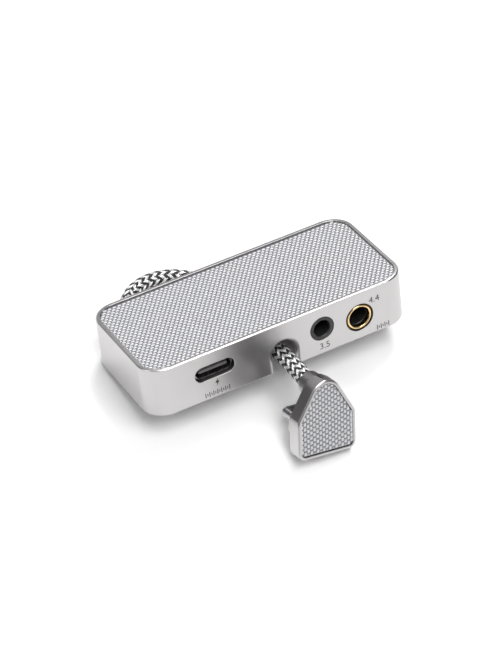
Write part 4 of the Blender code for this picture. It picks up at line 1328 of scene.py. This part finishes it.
def printed_text(name, words, x, z, height):
    text = bpy.data.curves.new(name, "FONT")
    text.body = words
    text.size = height
    text.align_x = "CENTER"
    text.align_y = "CENTER"
    text.extrude = 0.000005
    holder = link("text", text)
    mesh = evaluated(holder)
    bpy.data.objects.remove(holder, do_unlink=True)
    mesh.transform(Matrix.Translation((x, 0.0, z)) @ Matrix.Rotation(math.pi / 2, 4, "X"))
    return link(name, mesh)


def flat_sign(name, outlines):
    """Thin slabs of ink, one for each outline in X and Z."""
    shape = bmesh.new()
    for outline in outlines:
        face = shape.faces.new([shape.verts.new((x, 0.0, z)) for x, z in outline])
        grown = bmesh.ops.extrude_face_region(shape, geom=[face])
        moved = [item for item in grown["geom"] if isinstance(item, bmesh.types.BMVert)]
        bmesh.ops.translate(shape, vec=(0.0, -0.00001, 0.0), verts=moved)
    bmesh.ops.recalc_face_normals(shape, faces=shape.faces)
    return link(name, mesh_from(shape))


def tick_row(name, x, z, count):
    """A row of fine upright ticks, every second one short."""
    ticks = []
    for number in range(count):
        height = TICK_HEIGHT if number % 2 == 0 else TICK_HEIGHT / 2
        place = x + (number - (count - 1) / 2) * TICK_PITCH
        ticks.append(bar_outline(place, z, TICK_WIDTH, height))
    return flat_sign(name, ticks)


def bolt_outline(x, z, half):
    shape = ((0.25, 1.0), (-0.55, -0.15), (-0.05, -0.15), (-0.25, -1.0), (0.55, 0.2), (0.05, 0.2))
    return [(x + half * across, z + half * up) for across, up in shape]


def bar_outline(x, z, width, height):
    return [(x - width / 2, z - height / 2), (x + width / 2, z - height / 2),
            (x + width / 2, z + height / 2), (x - width / 2, z + height / 2)]


def finish_mark(piece, front):
    piece.data.transform(CASE_AXES @ Matrix.Translation((0.0, front - INK_DEPTH, 0.0)))
    dress(piece, "printing_ink")
    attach(piece, "root")


# Carried-over nodes

class AMPLIFIER_OT_node_finishes(bpy.types.Operator):
    """Detailed materials for the nodes that keep their modelled shape"""

    bl_idname = "amplifier.node_finishes"
    bl_label = "Node Finishes"

    def execute(self, context):
        slots = {part["node"]: part["material_slot"] for part in frame["record"]["subparts"]}
        plain = {"silver_weave": "backing_cloth", "braid": "dark_strand"}
        for name, node in frame["nodes"].items():
            dress(node, plain.get(slots[name], slots[name]))
        return {"FINISHED"}


OPERATORS = (
    AMPLIFIER_OT_stage,
    AMPLIFIER_OT_cord,
    AMPLIFIER_OT_case,
    AMPLIFIER_OT_lid_weave,
    AMPLIFIER_OT_usb_socket,
    AMPLIFIER_OT_headphone_sockets,
    AMPLIFIER_OT_grommet,
    AMPLIFIER_OT_plug_housing,
    AMPLIFIER_OT_plug_weave,
    AMPLIFIER_OT_plug_tab,
    AMPLIFIER_OT_marks,
    AMPLIFIER_OT_node_finishes,
)


class AMPLIFIER_PT_panel(bpy.types.Panel):
    """Lists the amplifier's pieces"""

    bl_idname = "AMPLIFIER_PT_panel"
    bl_label = "Headphone Amplifier"
    bl_space_type = "VIEW_3D"
    bl_region_type = "UI"
    bl_category = "Amplifier"

    def draw(self, context):
        for operator in OPERATORS:
            self.layout.operator(operator.bl_idname)
        for name in GROUPS:
            box = self.layout.box()
            group = getattr(context.scene, name)
            for prop in group.__annotations__:
                box.prop(group, prop)


def register():
    for group in GROUPS.values():
        bpy.utils.register_class(group)
    for name, group in GROUPS.items():
        setattr(bpy.types.Scene, name, PointerProperty(type=group))
    for operator in OPERATORS:
        bpy.utils.register_class(operator)
    bpy.utils.register_class(AMPLIFIER_PT_panel)


def unregister():
    bpy.utils.unregister_class(AMPLIFIER_PT_panel)
    for operator in reversed(OPERATORS):
        bpy.utils.unregister_class(operator)
    for name, group in reversed(list(GROUPS.items())):
        delattr(bpy.types.Scene, name)
        bpy.utils.unregister_class(group)


def main():
    register()
    for operator in OPERATORS:
        family, name = operator.bl_idname.split(".")
        getattr(getattr(bpy.ops, family), name)()


if __name__ == "__main__":
    main()
